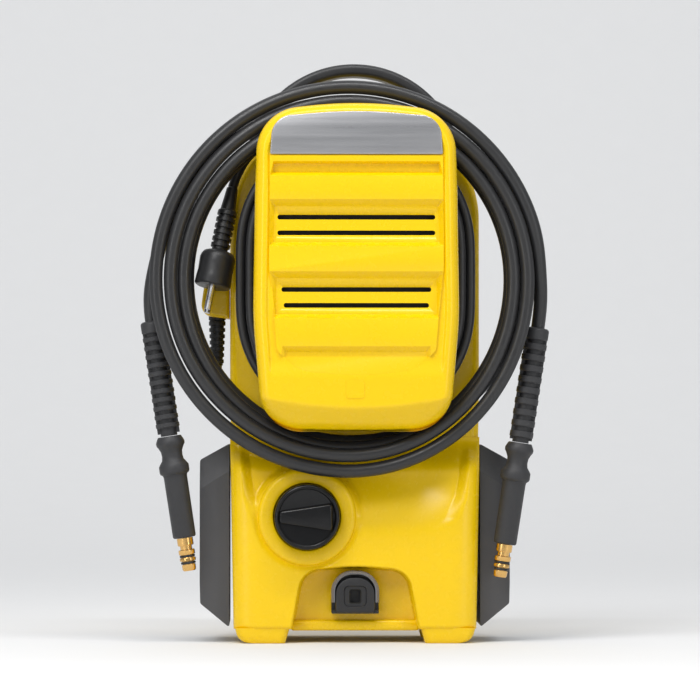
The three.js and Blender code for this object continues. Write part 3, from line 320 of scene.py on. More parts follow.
def spline(points, steps):
    """A smooth line through points in mm (centripetal Catmull-Rom)."""
    points = [Vector(p) for p in points]
    points = [2 * points[0] - points[1], *points, 2 * points[-1] - points[-2]]
    line = []
    for p0, p1, p2, p3 in zip(points, points[1:], points[2:], points[3:]):
        knots = [0]
        for a, b in ((p0, p1), (p1, p2), (p2, p3)):
            knots.append(knots[-1] + max((b - a).length, 1e-6) ** 0.5)
        t0, t1, t2, t3 = knots
        for k in range(steps):
            t = t1 + (t2 - t1) * k / steps
            a1 = p0 * (t1 - t) / (t1 - t0) + p1 * (t - t0) / (t1 - t0)
            a2 = p1 * (t2 - t) / (t2 - t1) + p2 * (t - t1) / (t2 - t1)
            a3 = p2 * (t3 - t) / (t3 - t2) + p3 * (t - t2) / (t3 - t2)
            b1 = a1 * (t2 - t) / (t2 - t0) + a2 * (t - t0) / (t2 - t0)
            b2 = a2 * (t3 - t) / (t3 - t1) + a3 * (t - t1) / (t3 - t1)
            line.append(b1 * (t2 - t) / (t2 - t1) + b2 * (t - t1) / (t2 - t1))
    return [*line, points[-2]]


def evenly(line, step):
    """The same line with points a fixed step apart."""
    line = np.array([tuple(p) for p in line])
    along = np.concatenate([[0], np.cumsum(np.linalg.norm(np.diff(line, axis=0), axis=1))])
    wanted = np.linspace(0, along[-1], int(along[-1] / step) + 1)
    return np.stack([np.interp(wanted, along, line[:, k]) for k in range(3)], axis=1)


def relaxed(line, rounds, keep=3):
    """Take the kinks out of an evenly spaced line, with its ends held."""
    for _ in range(rounds):
        middle = (line[:-2] + 2 * line[1:-1] + line[2:]) / 4
        line[keep:-keep] = middle[keep - 1:len(middle) - keep + 1]
    return line


def cord_object(name, line, diameter, skin_material, sides=5):
    data = bpy.data.curves.new(name, "CURVE")
    data.dimensions = "3D"
    data.bevel_depth = diameter / 2 * MM
    data.bevel_resolution = sides
    data.use_fill_caps = True
    path = data.splines.new("POLY")
    path.points.add(len(line) - 1)
    for point, at in zip(path.points, line):
        point.co = (*(float(c) * MM for c in at), 1)
    path.use_smooth = True
    data.materials.append(skin_material)
    return add_object(name, data)


# the hung hose: (radius, y) of its middle at each quarter turn, clockwise from the left of the ring
RING = Vector((-5, 0, 275.3))
HOSE_LANES = [
    (145.4, -46.0), (135.0, -36.8), (133.9, -36.6), (123.2, -36.3),
    (122.7, -36.4), (123.6, -36.9), (122.9, -41.5), (128.0, -45.9),
    (125.2, -50.6), (123.6, -54.3), (124.6, -54.5), (133.6, -54.9),
    (135.1, -54.5), (134.4, -54.3), (135.4, -54.3), (145.3, -53.8),
    (146.0, -54.0), (145.3, -54.0), (145.6, -49.0),
]
RIGHT_SLEEVE, RIGHT_FOOT = Vector((138.5, -37, 239)), Vector((109.6, -37, 50.4))
LEFT_SLEEVE, LEFT_FOOT = Vector((-154, -37, 244)), Vector((-126.4, -37, 62))
INTO_SLEEVE = 6


def hose_line():
    stations = [Vector((RING.x - r * math.cos(q * math.pi / 2), y, RING.z + r * math.sin(q * math.pi / 2)))
                for q, (r, y) in enumerate(HOSE_LANES)]
    turns = len(HOSE_LANES) - 1
    fine = np.linspace(0.14, turns - 0.12, turns * 24)
    lanes = np.array(HOSE_LANES)
    knots = np.arange(len(lanes))
    eased = np.floor(fine) + smooth(0, 1, fine - np.floor(fine))
    radius = np.interp(eased, knots, lanes[:, 0])
    y = np.interp(eased, knots, lanes[:, 1])
    angle = fine * math.pi / 2
    coil = np.stack([RING.x - radius * np.cos(angle), y, RING.z + radius * np.sin(angle)], axis=1)
    left_axis = (LEFT_FOOT - LEFT_SLEEVE).normalized()
    right_axis = (RIGHT_FOOT - RIGHT_SLEEVE).normalized()
    start = spline([LEFT_SLEEVE + left_axis * INTO_SLEEVE, LEFT_SLEEVE - left_axis * 6,
                    LEFT_SLEEVE - left_axis * 16 + Vector((0, -1.6, 0)), Vector(coil[0])], 10)[:-1]
    end = spline([Vector(coil[-1]), RIGHT_SLEEVE - right_axis * 16 + Vector((0, -1.6, 0)),
                  RIGHT_SLEEVE - right_axis * 6, RIGHT_SLEEVE + right_axis * INTO_SLEEVE], 10)[1:]
    line = [*start, *[Vector(p) for p in coil], *end]
    return relaxed(evenly(line, 4.5), 12)


# the wound mains cord: turns round the neck, anticlockwise from below, in layers and columns
NECK_FLAT = Vector((3, 0, 25))  # half the straight stretches of the neck's outline
NECK_MIDDLE = 276.5
NECK_RADIUS = 65
LAYER_GAP = 0.3
COLUMN_BACK = -41.2
COLUMN_STEP = 7.45
LEAD = [(-105, -4, 210.7), (-105, -4, 201), (-104, -10, 188), (-98.5, -20, 178), (-88.5, -26, 171.5),
        (-75, -27, 169.5), (-62, -27, 170), (-52, -27.8, 172), (-43, -30.2, 174), (-34, -33.1, 175.5)]
TAIL = [(-34, -33.1, 378), (-43, -30, 379.4), (-51, -27.2, 380.4), (-61, -26.7, 380.6), (-73, -26.4, 377.5),
        (-82.5, -26.3, 369.5), (-88.3, -26.5, 359), (-91.6, -27.5, 350), (-93, -28.3, 345.6)]
# (turns, layer, y) that the winding passes through; it eases from each to the next
COLUMNS = [COLUMN_BACK - k * COLUMN_STEP for k in range(3)]
WOUND = [
    (0.0, 1.9, -33.1), (0.16, 0.0, -35.5), (0.3, 0.0, COLUMNS[0]), (0.9, 0.0, COLUMNS[0]),
    (1.1, 0.0, COLUMNS[1]), (1.9, 0.0, COLUMNS[1]), (2.1, 0.0, COLUMNS[2]), (2.9, 0.0, COLUMNS[2]),
    (3.05, 1.0, COLUMNS[2]), (3.9, 1.0, COLUMNS[2]), (4.1, 1.0, COLUMNS[1]), (4.9, 1.0, COLUMNS[1]),
    (5.1, 1.0, COLUMNS[0]), (5.85, 1.0, COLUMNS[0]), (6.0, 2.0, COLUMNS[1]), (6.8, 2.0, COLUMNS[1]),
    (6.95, 2.0, COLUMNS[0]), (7.3, 2.0, COLUMNS[0]), (7.46, 2.0, -33.1),
]


def neck_point(turn, layer, y):
    """A point on the neck's winding; a turn starts below, at the lead, and runs to the right and up."""
    radius = NECK_RADIUS + LAYER_GAP + CORD / 2 + layer * CORD
    arc = radius * math.pi / 2
    runs = [(2 * NECK_FLAT.x, 0), (arc, 1), (2 * NECK_FLAT.z, 0), (arc, 1)] * 2
    perimeter = sum(length for length, _ in runs)
    start = -(math.asin((34 - NECK_FLAT.x) / radius)) * radius
    along = ((turn % 1.0) * perimeter + start) % perimeter
    corners = [(NECK_FLAT.x, -NECK_FLAT.z), (NECK_FLAT.x, NECK_FLAT.z), (-NECK_FLAT.x, NECK_FLAT.z),
               (-NECK_FLAT.x, -NECK_FLAT.z)]
    heading = -math.pi / 2
    for k, (flat, corner) in enumerate(zip((2 * NECK_FLAT.x, 2 * NECK_FLAT.z) * 2, corners)):
        if along <= flat:
            x, z = corner
            back = flat - along
            x += radius * math.cos(heading) + back * math.sin(heading)
            z += radius * math.sin(heading) - back * math.cos(heading)
            return (x, y, NECK_MIDDLE + z)
        along -= flat
        if along <= arc:
            angle = heading + along / radius
            x, z = corner[0] + radius * math.cos(angle), corner[1] + radius * math.sin(angle)
            return (x, y, NECK_MIDDLE + z)
        along -= arc
        heading += math.pi / 2
    raise ValueError("a turn runs past its own start")


def mains_line():
    turns = np.arange(0, WOUND[-1][0], 1 / 110)
    knots = np.array(WOUND)
    layers = np.interp(turns, knots[:, 0], knots[:, 1])
    ys = np.interp(turns, knots[:, 0], knots[:, 2])
    wound = [Vector(neck_point(t, layer, y)) for t, layer, y in zip(turns, layers, ys)]
    line = [*spline(LEAD, 8)[:-1], *wound, *spline(TAIL, 8)]
    line = relaxed(evenly(line, 4), 10)
    line[:40] = relaxed(line[:40], 26)
    return line


hose_path = hose_line()
hose = cord_object("pressure_hose", hose_path, HOSE, HOSE_SKIN)
mains = cord_object("mains_cord", mains_line(), CORD, CORD_SKIN, sides=4)
dress(hose, "housing", "rubber", "hose_coil", "left_hose_tail", "right_hose_tail")
dress(mains, "housing", "rubber", "cord_lead", "cord_winding", "cord_tail")


# ---- hose ends ---------------------------------------------------------------------------------------
SLEEVE_LONG = 88
GRIP_LONG = 77.5
CONNECTOR_LONG = 25


def along_axis(start, foot, at):
    return start + (foot - start).normalized() * at


def sleeve(hand, start, foot, pitch, rib):
    """A bend sleeve: a rubber core with ribs, a plain cap at its top and two thin spines along the ribs."""
    profile = [(0, 5.4), (0.3, 7.4), (1.2, 8.6), (2.4, 9.0), (8.6, 9.0), (9.4, 8.2), (9.4, 6.4)]
    at = 12.0
    while at + rib < SLEEVE_LONG - 3:
        profile += [(at, 6.3), (at, 8.3), (at + 0.7, 9.0), (at + rib - 0.7, 9.0), (at + rib, 8.3),
                    (at + rib, 6.3)]
        at += pitch
    profile += [(SLEEVE_LONG, 6.3), (SLEEVE_LONG, 0)]
    parts = [turned(start, foot, profile, 40)]
    axis = (foot - start).normalized()
    side = axis.cross(Vector((0, 1, 0))).normalized()
    for across, out in ((side, 1), (side, -1)):
        middle = across * out
        spine = [start + axis * a + middle * r + Vector((0, w, 0))
                 for a, r, w in ((8, 5, -2.2), (8, 8.4, -2.2), (8, 8.4, 2.2), (8, 5, 2.2))]
        far = [p + axis * (SLEEVE_LONG - 10) for p in spine]
        faces = [(0, 1, 2, 3), (7, 6, 5, 4), (0, 4, 5, 1), (1, 5, 6, 2), (2, 6, 7, 3), (3, 7, 4, 0)]
        parts.append(([tuple(p) for p in spine + far], faces))
    made = mesh_object(f"{hand}_bend_sleeve", parts, [SLEEVE])
    return dress(made, "housing", "rubber", f"{hand}_hose_sleeve")


def grip(hand, start, foot):
    """Two collars with a waist between, then the plain barrel that holds the connector."""
    profile = [(0, 6), (0, 8.6), (0.8, 9.2), (3.2, 10.4), (4.6, 10.9), (6.6, 10.7), (8.2, 9.6), (11.5, 8.1),
               (15, 7.8), (18, 8.3), (20.6, 10.2), (22.4, 11.3), (26.8, 11.4), (28.2, 10.9), (29.4, 9.3),
               (31, 8.9),
               (GRIP_LONG - 1.4, 8.75), (GRIP_LONG - 0.5, 8.4), (GRIP_LONG, 7.6), (GRIP_LONG, 5)]
    top = along_axis(start, foot, SLEEVE_LONG + 0.3)
    barrel = turned(top, foot, profile, 48)
    return dress(mesh_object(f"{hand}_hose_barrel", [barrel], [SLEEVE]), "housing", "black_plastic",
                 f"{hand}_hose_grip")


def connector(hand, start, foot):
    """The turned brass tip, with two black sealing rings in its grooves."""
    top = along_axis(start, foot, SLEEVE_LONG + GRIP_LONG + 0.6)
    profile = [(0, 3), (0, 6.1), (5.2, 6.1), (5.8, 5.6), (5.8, 4.5), (8.8, 4.5), (8.8, 5.7), (9.3, 6.2),
               (12.2, 6.2), (12.6, 5.9), (12.6, 4.6), (15.0, 4.6), (15.0, 5.9), (15.4, 6.1), (17.2, 6.1),
               (17.6, 5.6), (17.6, 4.4), (20.2, 4.4), (20.2, 5.3), (CONNECTOR_LONG - 1, 5.1),
               (CONNECTOR_LONG, 4.3), (CONNECTOR_LONG, 2.4), (CONNECTOR_LONG - 12, 2.4)]
    brass_part = turned(top, foot, profile, 40)
    rings = []
    for at, radius in ((13.8, 4.9), (18.9, 4.7)):
        bead = [(at + 1.0 * math.cos(t), radius + 1.0 * math.sin(t)) for t in
                (2 * math.pi * k / 12 for k in range(12))]
        rings.append((*turned_ring(top, foot, bead, 32), 1))
    made = mesh_object(f"{hand}_brass_tip", [brass_part, *rings], [BRASS, CORD_SKIN])
    return dress(made, "housing", "brass", f"{hand}_hose_connector")


right_pieces = [sleeve("right", RIGHT_SLEEVE, RIGHT_FOOT, 8.4, 5.0), grip("right", RIGHT_SLEEVE, RIGHT_FOOT),
                connector("right", RIGHT_SLEEVE, RIGHT_FOOT)]
left_pieces = [sleeve("left", LEFT_SLEEVE, LEFT_FOOT, 6.6, 3.8), grip("left", LEFT_SLEEVE, LEFT_FOOT),
               connector("left", LEFT_SLEEVE, LEFT_FOOT)]


# ---- mains plug and strain relief --------------------------------------------------------------------
PLUG_TOP = Vector((-93.2, -28.4, 345))
PLUG_FACE = Vector((-108.4, -39, 270))
PLUG_RADIUS = 13.8
PLUG_DEEPER = 1.25
PLUG_LONG = (PLUG_FACE - PLUG_TOP).length


def plug():
    """The moulded plug: tapered relief, ribbed neck, shoulder and an oval body with a grip waist."""
    profile = [(0, 3.75), (0.4, 4.3), (8, 4.9), (17.4, 5.9), (18, 7.0)]
    for k in range(6):
        at = 19 + k * 5
        profile += [(at, 7.4), (at + 2.6, 7.4), (at + 2.9, 6.1), (at + 4.7, 6.1)]
    profile += [(49.6, 7.2), (50.2, 9.6), (51.2, 11.6), (53.4, 13.0), (56, 13.7), (60, 13.5), (66, 13.2),
                (70, 13.6), (PLUG_LONG - 1.6, PLUG_RADIUS), (PLUG_LONG - 0.4, PLUG_RADIUS - 0.6),
                (PLUG_LONG, PLUG_RADIUS - 1.4), (PLUG_LONG, 0)]
    axis = (PLUG_FACE - PLUG_TOP).normalized()
    across = (Vector((0, 1, 0)) - axis * axis.y).normalized()
    vertices, faces = turned(PLUG_TOP, PLUG_FACE, profile, 48)
    widened = []
    for v in vertices:
        arm = Vector(v) - PLUG_TOP
        deep = arm.dot(across)
        widened.append(tuple(PLUG_TOP + arm + across * deep * (PLUG_DEEPER - 1)))
    made = mesh_object("mains_plug", [(widened, faces)], [CORD_SKIN], sharp=45)
    return dress(made, "housing", "rubber", "plug_body")


def relief():
    """The ribbed strain relief, thinner towards its end."""
    profile = [(0, 4), (0, 6.5), (10.5, 6.5), (11, 5.6)]
    at = 12.0
    while at < 42:
        fall = (at - 12) * 0.045
        profile += [(at, 6.4 - fall), (at + 2.7, 6.4 - fall), (at + 3.1, 5.2 - fall * 0.8),
                    (at + 4.5, 5.2 - fall * 0.8)]
        at += 4.8
    profile += [(44.6, 4.8), (45, 4.2), (45, 0)]
    ribbed = turned((-105, -4, 256), (-105, -4, 0), profile, 40)
    made = mesh_object("ribbed_relief", [ribbed], [CORD_SKIN], 45)
    return dress(made, "housing", "rubber", "cord_relief")


mains_plug = plug()
relief()


# ---- front cover -------------------------------------------------------------------------------------
COVER_HALF = 77.3
COVER_LOW, COVER_HIGH = 160.2, 408
COVER_FRONT, COVER_BACK = -88, -60.4
RIM_DROP, RIM_ROUND = 11, 8.5  # how far the rim rounds back, and how wide that is
RIM_WIDE = 10.2
RECESS_DEEP = 2.1
LIP = 178.5  # the crease of the cover's lower lip, at its middle
cover_outline = [
    (-COVER_HALF + 7.5, COVER_LOW, 32), (COVER_HALF - 7.5, COVER_LOW, 32), (COVER_HALF, 245, 300),
    (COVER_HALF - 1.5, 340, 400), (COVER_HALF - 3.5, COVER_HIGH - 8, 37), (0, COVER_HIGH + 0.5, 500),
    (-COVER_HALF + 3.5, COVER_HIGH - 8, 37), (-COVER_HALF + 1.5, 340, 400), (-COVER_HALF, 245, 300),
]
PLATE_FRONT = COVER_FRONT + 0.2
PLATE_HALF = 65.2
plate_outline = [(-44, 205, 30), (0, 201, 200), (44, 205, 30), (59.4, 221, 8), (61.6, 248, 60),
                 (PLATE_HALF, 284, 60), (PLATE_HALF - 0.4, 366.8, 1.5), (-PLATE_HALF + 0.4, 366.8, 1.5),
                 (-PLATE_HALF, 284, 60),
                 (-61.6, 248, 60), (-59.4, 221, 8)]
POCKET_FLOOR = COVER_FRONT + 5.8
# louvre pockets: (low, half width there), (high, half width there) at the face, then the same at the floor
POCKETS = [
    ((244.9, 61.4), (280.0, 65.0), (248.0, 60.4), (275.2, 59.6)),
    ((298.7, 65.0), (333.9, 65.0), (301.8, 62.0), (329.1, 61.0)),
    ((351.6, 64.6), (362.2, 62.2), (354.4, 62.2), (360.6, 61.4)),
]
SLOTS = [(320.6, 59), (308.9, 59), (266.5, 56), (254.7, 54.3)]  # height, half width
SLOT_HEIGHT = 3.5


def cover_front(x, z, depth_in):
    """The cover's y at a point that is depth_in from its edge."""
    rim = np.clip((RIM_ROUND - depth_in) / RIM_ROUND, 0, 1)
    y = COVER_FRONT + RIM_DROP * (1 - np.sqrt(1 - np.minimum(rim, 0.999) ** 2))
    y = y + RECESS_DEEP * smooth(RIM_WIDE - 1.4, RIM_WIDE + 1.4, depth_in) * smooth(200, 214, z)
    under = np.clip(LIP + 5.5 * (x / 59) ** 2 - z, 0, None)
    under = under - 1.0 * (1 - np.exp(-under / 1.0))
    return y + 0.9 * under


def flared(low, high, floor_low, floor_high, front, floor):
    """A cutter for a pocket with slanting walls: its outline at the face, and a smaller one at its floor."""
    def ring(y, a, b):
        (z0, h0), (z1, h1) = a, b
        corners = [(-h0, z0, 0.6), (h0, z0, 0.6), (h1, z1, 0.6), (-h1, z1, 0.6)]
        return [(x, y, z) for x, z in rounded(corners, 1)]

    def beyond(a, b):
        return (a[0] + (a[0] - b[0]) * 0.5, a[1] + (a[1] - b[1]) * 0.5)
    over = front - (floor - front) * 0.5
    mouth = ring(over, beyond(low, floor_low), beyond(high, floor_high))
    return skin([mouth, ring(floor, floor_low, floor_high)])


def cover_plate():
    """The louvred middle of the cover: three flush bands, slotted pockets between them and a scoop below."""
    block = front_loft(plate_outline, [(COVER_FRONT + 12, 0), (PLATE_FRONT, 0)], 8)
    plate = mesh_object("plate", [block], [YELLOW])
    cutters = [flared(*pocket, PLATE_FRONT, POCKET_FLOOR) for pocket in POCKETS]
    deep, rise = POCKET_FLOOR - 1.2, PLATE_FRONT - 0.9
    scoop_mouth = [(-62, -96, 231.5), (62, -96, 231.5), (66, -96, 190), (-66, -96, 190)]
    scoop_floor = [(-52, deep, 220.0), (52, deep, 220.0), (58, rise, 197), (-58, rise, 197)]
    cutters.append(skin([scoop_mouth, scoop_floor]))
    carve(plate, cutters, YELLOW)
    bevelled(plate, 1.2, 4, 24)
    slots = [front_loft(rectangle(0, z, 2 * half, SLOT_HEIGHT, SLOT_HEIGHT / 2 - 0.05),
                        [(COVER_FRONT - 6, 0), (COVER_FRONT + 11, 0)], 6) for z, half in SLOTS]
    # the slots' walls take the near-black painted shade, for the shadow inside them
    carve(plate, slots)
    plate.data.set_sharp_from_angle(angle=math.radians(35))
    return plate


def front_cover():
    edge = even_outline(cover_outline, 1.0)
    spine = np.stack([np.zeros(len(edge)), np.clip(edge[:, 1], COVER_LOW + 78, COVER_HIGH - 78)], axis=1)
    inward = spine - edge
    reach = np.linalg.norm(inward, axis=1, keepdims=True)
    inward /= reach
    depths = [*np.linspace(0, 2, 6), *np.linspace(2.6, 15, 20)]
    rings = []
    for y, d in ((COVER_BACK, 14), (COVER_BACK, 1.6), (COVER_BACK - 0.5, 0.5), (COVER_BACK - 1.4, 0),
                 (-66, 0), (-70, 0)):
        at = edge + inward * d
        rings.append([(x, y, z) for x, z in at])
    for d in depths:
        at = edge + inward * d
        y = cover_front(at[:, 0], at[:, 1], np.full(len(at), d))
        rings.append([(x, min(h, COVER_BACK - 5), z) for (x, z), h in zip(at, y)])
    for share in np.linspace(0, 1, 44)[1:]:
        at = edge + inward * (15 + (reach - 15) * share)
        y = cover_front(at[:, 0], at[:, 1], 15 + (reach[:, 0] - 15) * share)
        rings.append([(x, h, z) for (x, z), h in zip(at, y)])
    vertices, faces = skin(rings, closed=False)
    faces.append(tuple(reversed(range(len(edge)))))
    mark = [front_loft(rectangle(-1, 192, 14, 14, 2.5), [(COVER_FRONT + 1, 0), (COVER_FRONT - 0.45, 0.2)], 4)]
    cover = mesh_object("cover_skin", [(vertices, faces), *mark], [YELLOW], sharp=50)
    opening = front_loft(inset(plate_outline, 0.7), [(COVER_FRONT - 6, 0), (COVER_FRONT + 11.5, 0)], 8)
    carve(cover, [opening], YELLOW)
    dress(cover_plate(), "housing", "yellow_shell")
    return dress(cover, "housing", "yellow_shell", "front_cover")


def even_outline(corners, step, steps=24):
    """An outline's points, a fixed step apart."""
    points = np.array([*rounded(corners, steps)])
    points = np.vstack([points, points[:1]])
    along = np.concatenate([[0], np.cumsum(np.linalg.norm(np.diff(points, axis=0), axis=1))])
    wanted = np.linspace(0, along[-1], int(along[-1] / step), endpoint=False)
    return np.stack([np.interp(wanted, along, points[:, k]) for k in (0, 1)], axis=1)


BADGE_LOW = 367.5
badge_outline = [(-64.6, BADGE_LOW, 1.2), (64.6, BADGE_LOW, 1.2), (62.6, COVER_HIGH - 12.5, 26),
                 (0, COVER_HIGH - 7, 400), (-62.6, COVER_HIGH - 12.5, 26)]


def badge():
    sections = [(COVER_FRONT + out, d) for out, d in ((3, 0), (-0.3, 0), (-0.7, 0.25), (-0.9, 0.8))]
    made = mesh_object("brushed_badge_plate", [front_loft(badge_outline, sections, 16)], [SILVER], sharp=60)
    return dress(made, "housing", "badge_silver", "badge_plate")


front_cover()
badge()


# ---- body shells -------------------------------------------------------------------------------------
HALF = 95
BOTTOM, TOP = 10.6, 396
BODY_FRONT, BODY_REAR, SPLIT = -20, 85, 20
APRON_FRONT = -42
APRON_TOP = 156
KNOB = Vector((-36.6, 0, 95.9))
KNOB_RADIUS = 24.7
BEZEL_INNER, BEZEL_OUTER, BEZEL_FRONT = 25.4, 37.4, -43
DISH = 14
body_outline = [
    (-HALF + 3, BOTTOM, 6), (HALF - 3, BOTTOM, 6), (HALF, 190, 900), (HALF, TOP - 45, 100),
    (HALF - 39, TOP, 38), (-HALF + 39, TOP, 38), (-HALF, TOP - 45, 100), (-HALF, 190, 900),
]
neck_outline = rectangle(0, NECK_MIDDLE, 136, 180, NECK_RADIUS)


def apron_half(z):
    return HALF - 3 + 2.75 * (z - BOTTOM) / (151 - BOTTOM) + 0.12


def dish_edge(z):
    """Half width of the dish's outer crease at a height."""
    return np.interp(z, [78, 84, 89, 95, 111, 130, 151, 170], [40, 62, 73, 79.5, 85, 86.3, 87.2, 88])


def apron_front(x, z):
    """The y of the lower front: convex pillars, the dish under the cover and the swell round the switch."""
    from_side = apron_half(z) - np.abs(x)
    t = np.clip((22 - from_side) / 22, 0, 0.9995)
    y = APRON_FRONT + 12.5 * (1 - np.sqrt(1 - t * t))
    inside = dish_edge(z) - np.abs(x)
    wall = np.clip(inside / np.interp(z, [84, 111, 151], [12, 9.5, 5.5]), 0, 1)
    wall = wall - 0.03 * np.sin(2 * np.pi * wall)
    y = y + DISH * smooth(80, 128, z) * (0.62 * wall + 0.38 * smooth(4, 40, inside))
    around = np.hypot(x - KNOB.x, z - KNOB.z)
    near = 1 - smooth(BEZEL_OUTER - 1, BEZEL_OUTER + 5, around)
    y = y * (1 - near) + (BEZEL_FRONT + 3.2) * near
    hollow = 1 - smooth(BEZEL_INNER - 1, BEZEL_INNER + 1, around)
    y = y + 8 * hollow
    back = smooth(129, 154, z)
    y = y * (1 - back) + (BODY_FRONT - 0.4) * back
    foot = np.clip((BOTTOM + 3 - z) / 3, 0, 0.999)
    return y + 3 * (1 - np.sqrt(1 - foot * foot))


def apron():
    heights = np.linspace(BOTTOM, APRON_TOP, 170)
    flat = math.cos(0.35)
    shares = np.concatenate([-np.cos(np.linspace(0, 0.35, 10)[:-1]), np.linspace(-flat, flat, 215),
                             np.cos(np.linspace(0.35, 0, 10)[1:])])
    rows = []
    for z in heights:
        x = shares * apron_half(z)
        y = apron_front(x, np.full_like(x, z))
        face = zip(x, y, np.full_like(x, z))
        rows.append([(x[0], 0, z), (x[0], -12, z), *face, (x[-1], -12, z), (x[-1], 0, z)])
    wide = len(rows[0])
    vertices = [p for row in rows for p in row]
    faces = [(r * wide + i, r * wide + i + 1, (r + 1) * wide + i + 1, (r + 1) * wide + i)
             for r in range(len(rows) - 1) for i in range(wide - 1)]
    last = (len(rows) - 1) * wide
    faces.append(tuple(reversed(range(wide))))
    faces.append(tuple(range(last, last + wide)))
    faces += [((r + 1) * wide, (r + 1) * wide + wide - 1, r * wide + wide - 1, r * wide)
              for r in range(len(rows) - 1)]
    return vertices, faces


def bezel():
    """The raised ring round the switch knob, with rounded edges."""
    profile = [(0, BEZEL_INNER), (12.6, BEZEL_INNER), (13.6, BEZEL_INNER + 0.5), (14, BEZEL_INNER + 1.5),
               (14, BEZEL_OUTER - 4.2), (13.7, BEZEL_OUTER - 2.8), (12.8, BEZEL_OUTER - 1.2),
               (11.2, BEZEL_OUTER - 0.2), (9, BEZEL_OUTER + 0.4), (0, BEZEL_OUTER + 0.6)]
    return turned_ring((KNOB.x, BEZEL_FRONT + 14, KNOB.z), (KNOB.x, -90, KNOB.z), profile, 96)


def foot(side, y, deep):
    inner, outer = side * 49.6, side * 91.2
    rings = []
    for z, shrink in ((0, 10.5), (0.35, 8.6), (1.3, 6.0), (3.2, 3.4), (6.2, 1.5), (11.6, 0)):
        near, far = inner + side * 3.4 * (1 - z / 11.6), outer - side * shrink
        left, right = sorted((near, far))
        edge = 0.3 + shrink * 0.25
        near_y, far_y = y - deep / 2 + edge, y + deep / 2 - edge
        corners = [(left, near_y, 5), (right, near_y, 5), (right, far_y, 5), (left, far_y, 5)]
        rings.append([(x, b, z) for x, b in rounded(corners, 6)])
    return skin(rings)


def shell_sections(front, rear, front_radius, rear_radius):
    """Sections from front to rear with rounded edges, or a parting line's fine edge where a radius is 0."""
    sections = rounding(front, rear, front_radius, 6) if front_radius else [(front, 0.25), (front + 0.3, 0)]
    tail = rounding(rear, front, rear_radius, 7) if rear_radius else [(rear, 0.25), (rear - 0.3, 0)]
    return sections + list(reversed(tail))


ALCOVE_TOP = 58
ALCOVE_FLOOR = -22
alcove_outline = [(-49.6, BOTTOM - 6, 1), (49.6, BOTTOM - 6, 1), (40.2, ALCOVE_TOP - 2.5, 17),
                  (0, ALCOVE_TOP + 0.6, 120), (-40.2, ALCOVE_TOP - 2.5, 17)]
OUTLET_Z = 36.9


def front_shell():
    tub = front_loft(body_outline, shell_sections(BODY_FRONT, SPLIT - 0.2, 6, 0), 14)
    neck = front_loft(neck_outline, [(-59.9, 0.6), (-59.4, 0), (-22, 0), (-20.5, 1)], 20)
    feet = [foot(side, -26, 30) for side in (-1, 1)]
    shell = mesh_object("front_body_skin", [apron()], [YELLOW, PAINTED_SHADE], sharp=40)
    into_alcove = [(-60, -1.6), (APRON_FRONT - 0.2, -1.6), (APRON_FRONT + 0.2, -0.7), (APRON_FRONT + 1.2, 0),
                   (ALCOVE_FLOOR - 3, 1.4), (ALCOVE_FLOOR - 0.9, 2.2), (ALCOVE_FLOOR, 4.4)]
    carve(shell, [front_loft(alcove_outline, into_alcove, 12)], YELLOW)
    over_step = [(ALCOVE_FLOOR + out, d) for out, d in ((2, 0), (-4, 0), (-5.2, 0.5), (-6, 1.8))]
    threshold = front_loft(rectangle(0, BOTTOM + 2.5, 97.6, 8, 2.2), over_step, 6)
    rest = mesh_object("front_rest", [tub, neck, threshold, bezel(), *feet], [YELLOW], sharp=40)
    with_all = bmesh.new()
    with_all.from_mesh(shell.data)
    with_all.from_mesh(rest.data)
    with_all.to_mesh(shell.data)
    with_all.free()
    bpy.data.objects.remove(rest)
    shell.data.set_sharp_from_angle(angle=math.radians(36))
    return dress(shell, "housing", "yellow_shell", "front_shell")


TOWERS = [(-78, 60), (78, 60), (-82, 200), (82, 200), (-50, 372), (50, 372)]


def rear_shell():
    """The back half: rounded all round, with a slatted air outlet, screw wells and the inlet's recess."""
    tub = front_loft(body_outline, shell_sections(SPLIT + 0.25, BODY_REAR, 0, 14), 14)
    feet = [foot(side, 62, 30) for side in (-1, 1)]
    shell = mesh_object("rear_body_skin", [tub, *feet], [YELLOW], sharp=40)
    slots = [front_loft(rectangle(0, 250 + 14 * k, 92, 5, 2.4), [(BODY_REAR + 2, 0), (BODY_REAR - 5, 0)], 6)
             for k in range(6)]
    wells = [turned((x, BODY_REAR - 9.5, z), (x, 120, z), [(0, 4.6), (12, 4.8)], 28) for x, z in TOWERS]
    wells.append(turned((0, BODY_REAR - 3.5, OUTLET_Z), (0, 120, OUTLET_Z), [(0, 17.5), (5, 18.5)], 40))
    # the walls of the vent slots, screw wells and inlet recess take the near-black painted shade
    carve(shell, [*slots, *wells])
    return dress(shell, "housing", "yellow_shell", "rear_shell")


front_shell()
rear_shell()


# ---- side panels, cord bracket and handle ------------------------------------------------------------
PANEL_OUT = 118
PANEL_IN = HALF + 0.4
PANEL_FRONT, PANEL_REAR = -22, 70
FACET_DEEP, FACET_LOW, FACET_FALL = 11, 130.6, 0.62
panel_outline = [(PANEL_IN, BOTTOM + 0.6, 1), (PANEL_OUT - 0.4, 29.5, 3), (PANEL_OUT, 45, 30),
                 (PANEL_OUT, 138.5, 3), (PANEL_IN, 151, 1)]


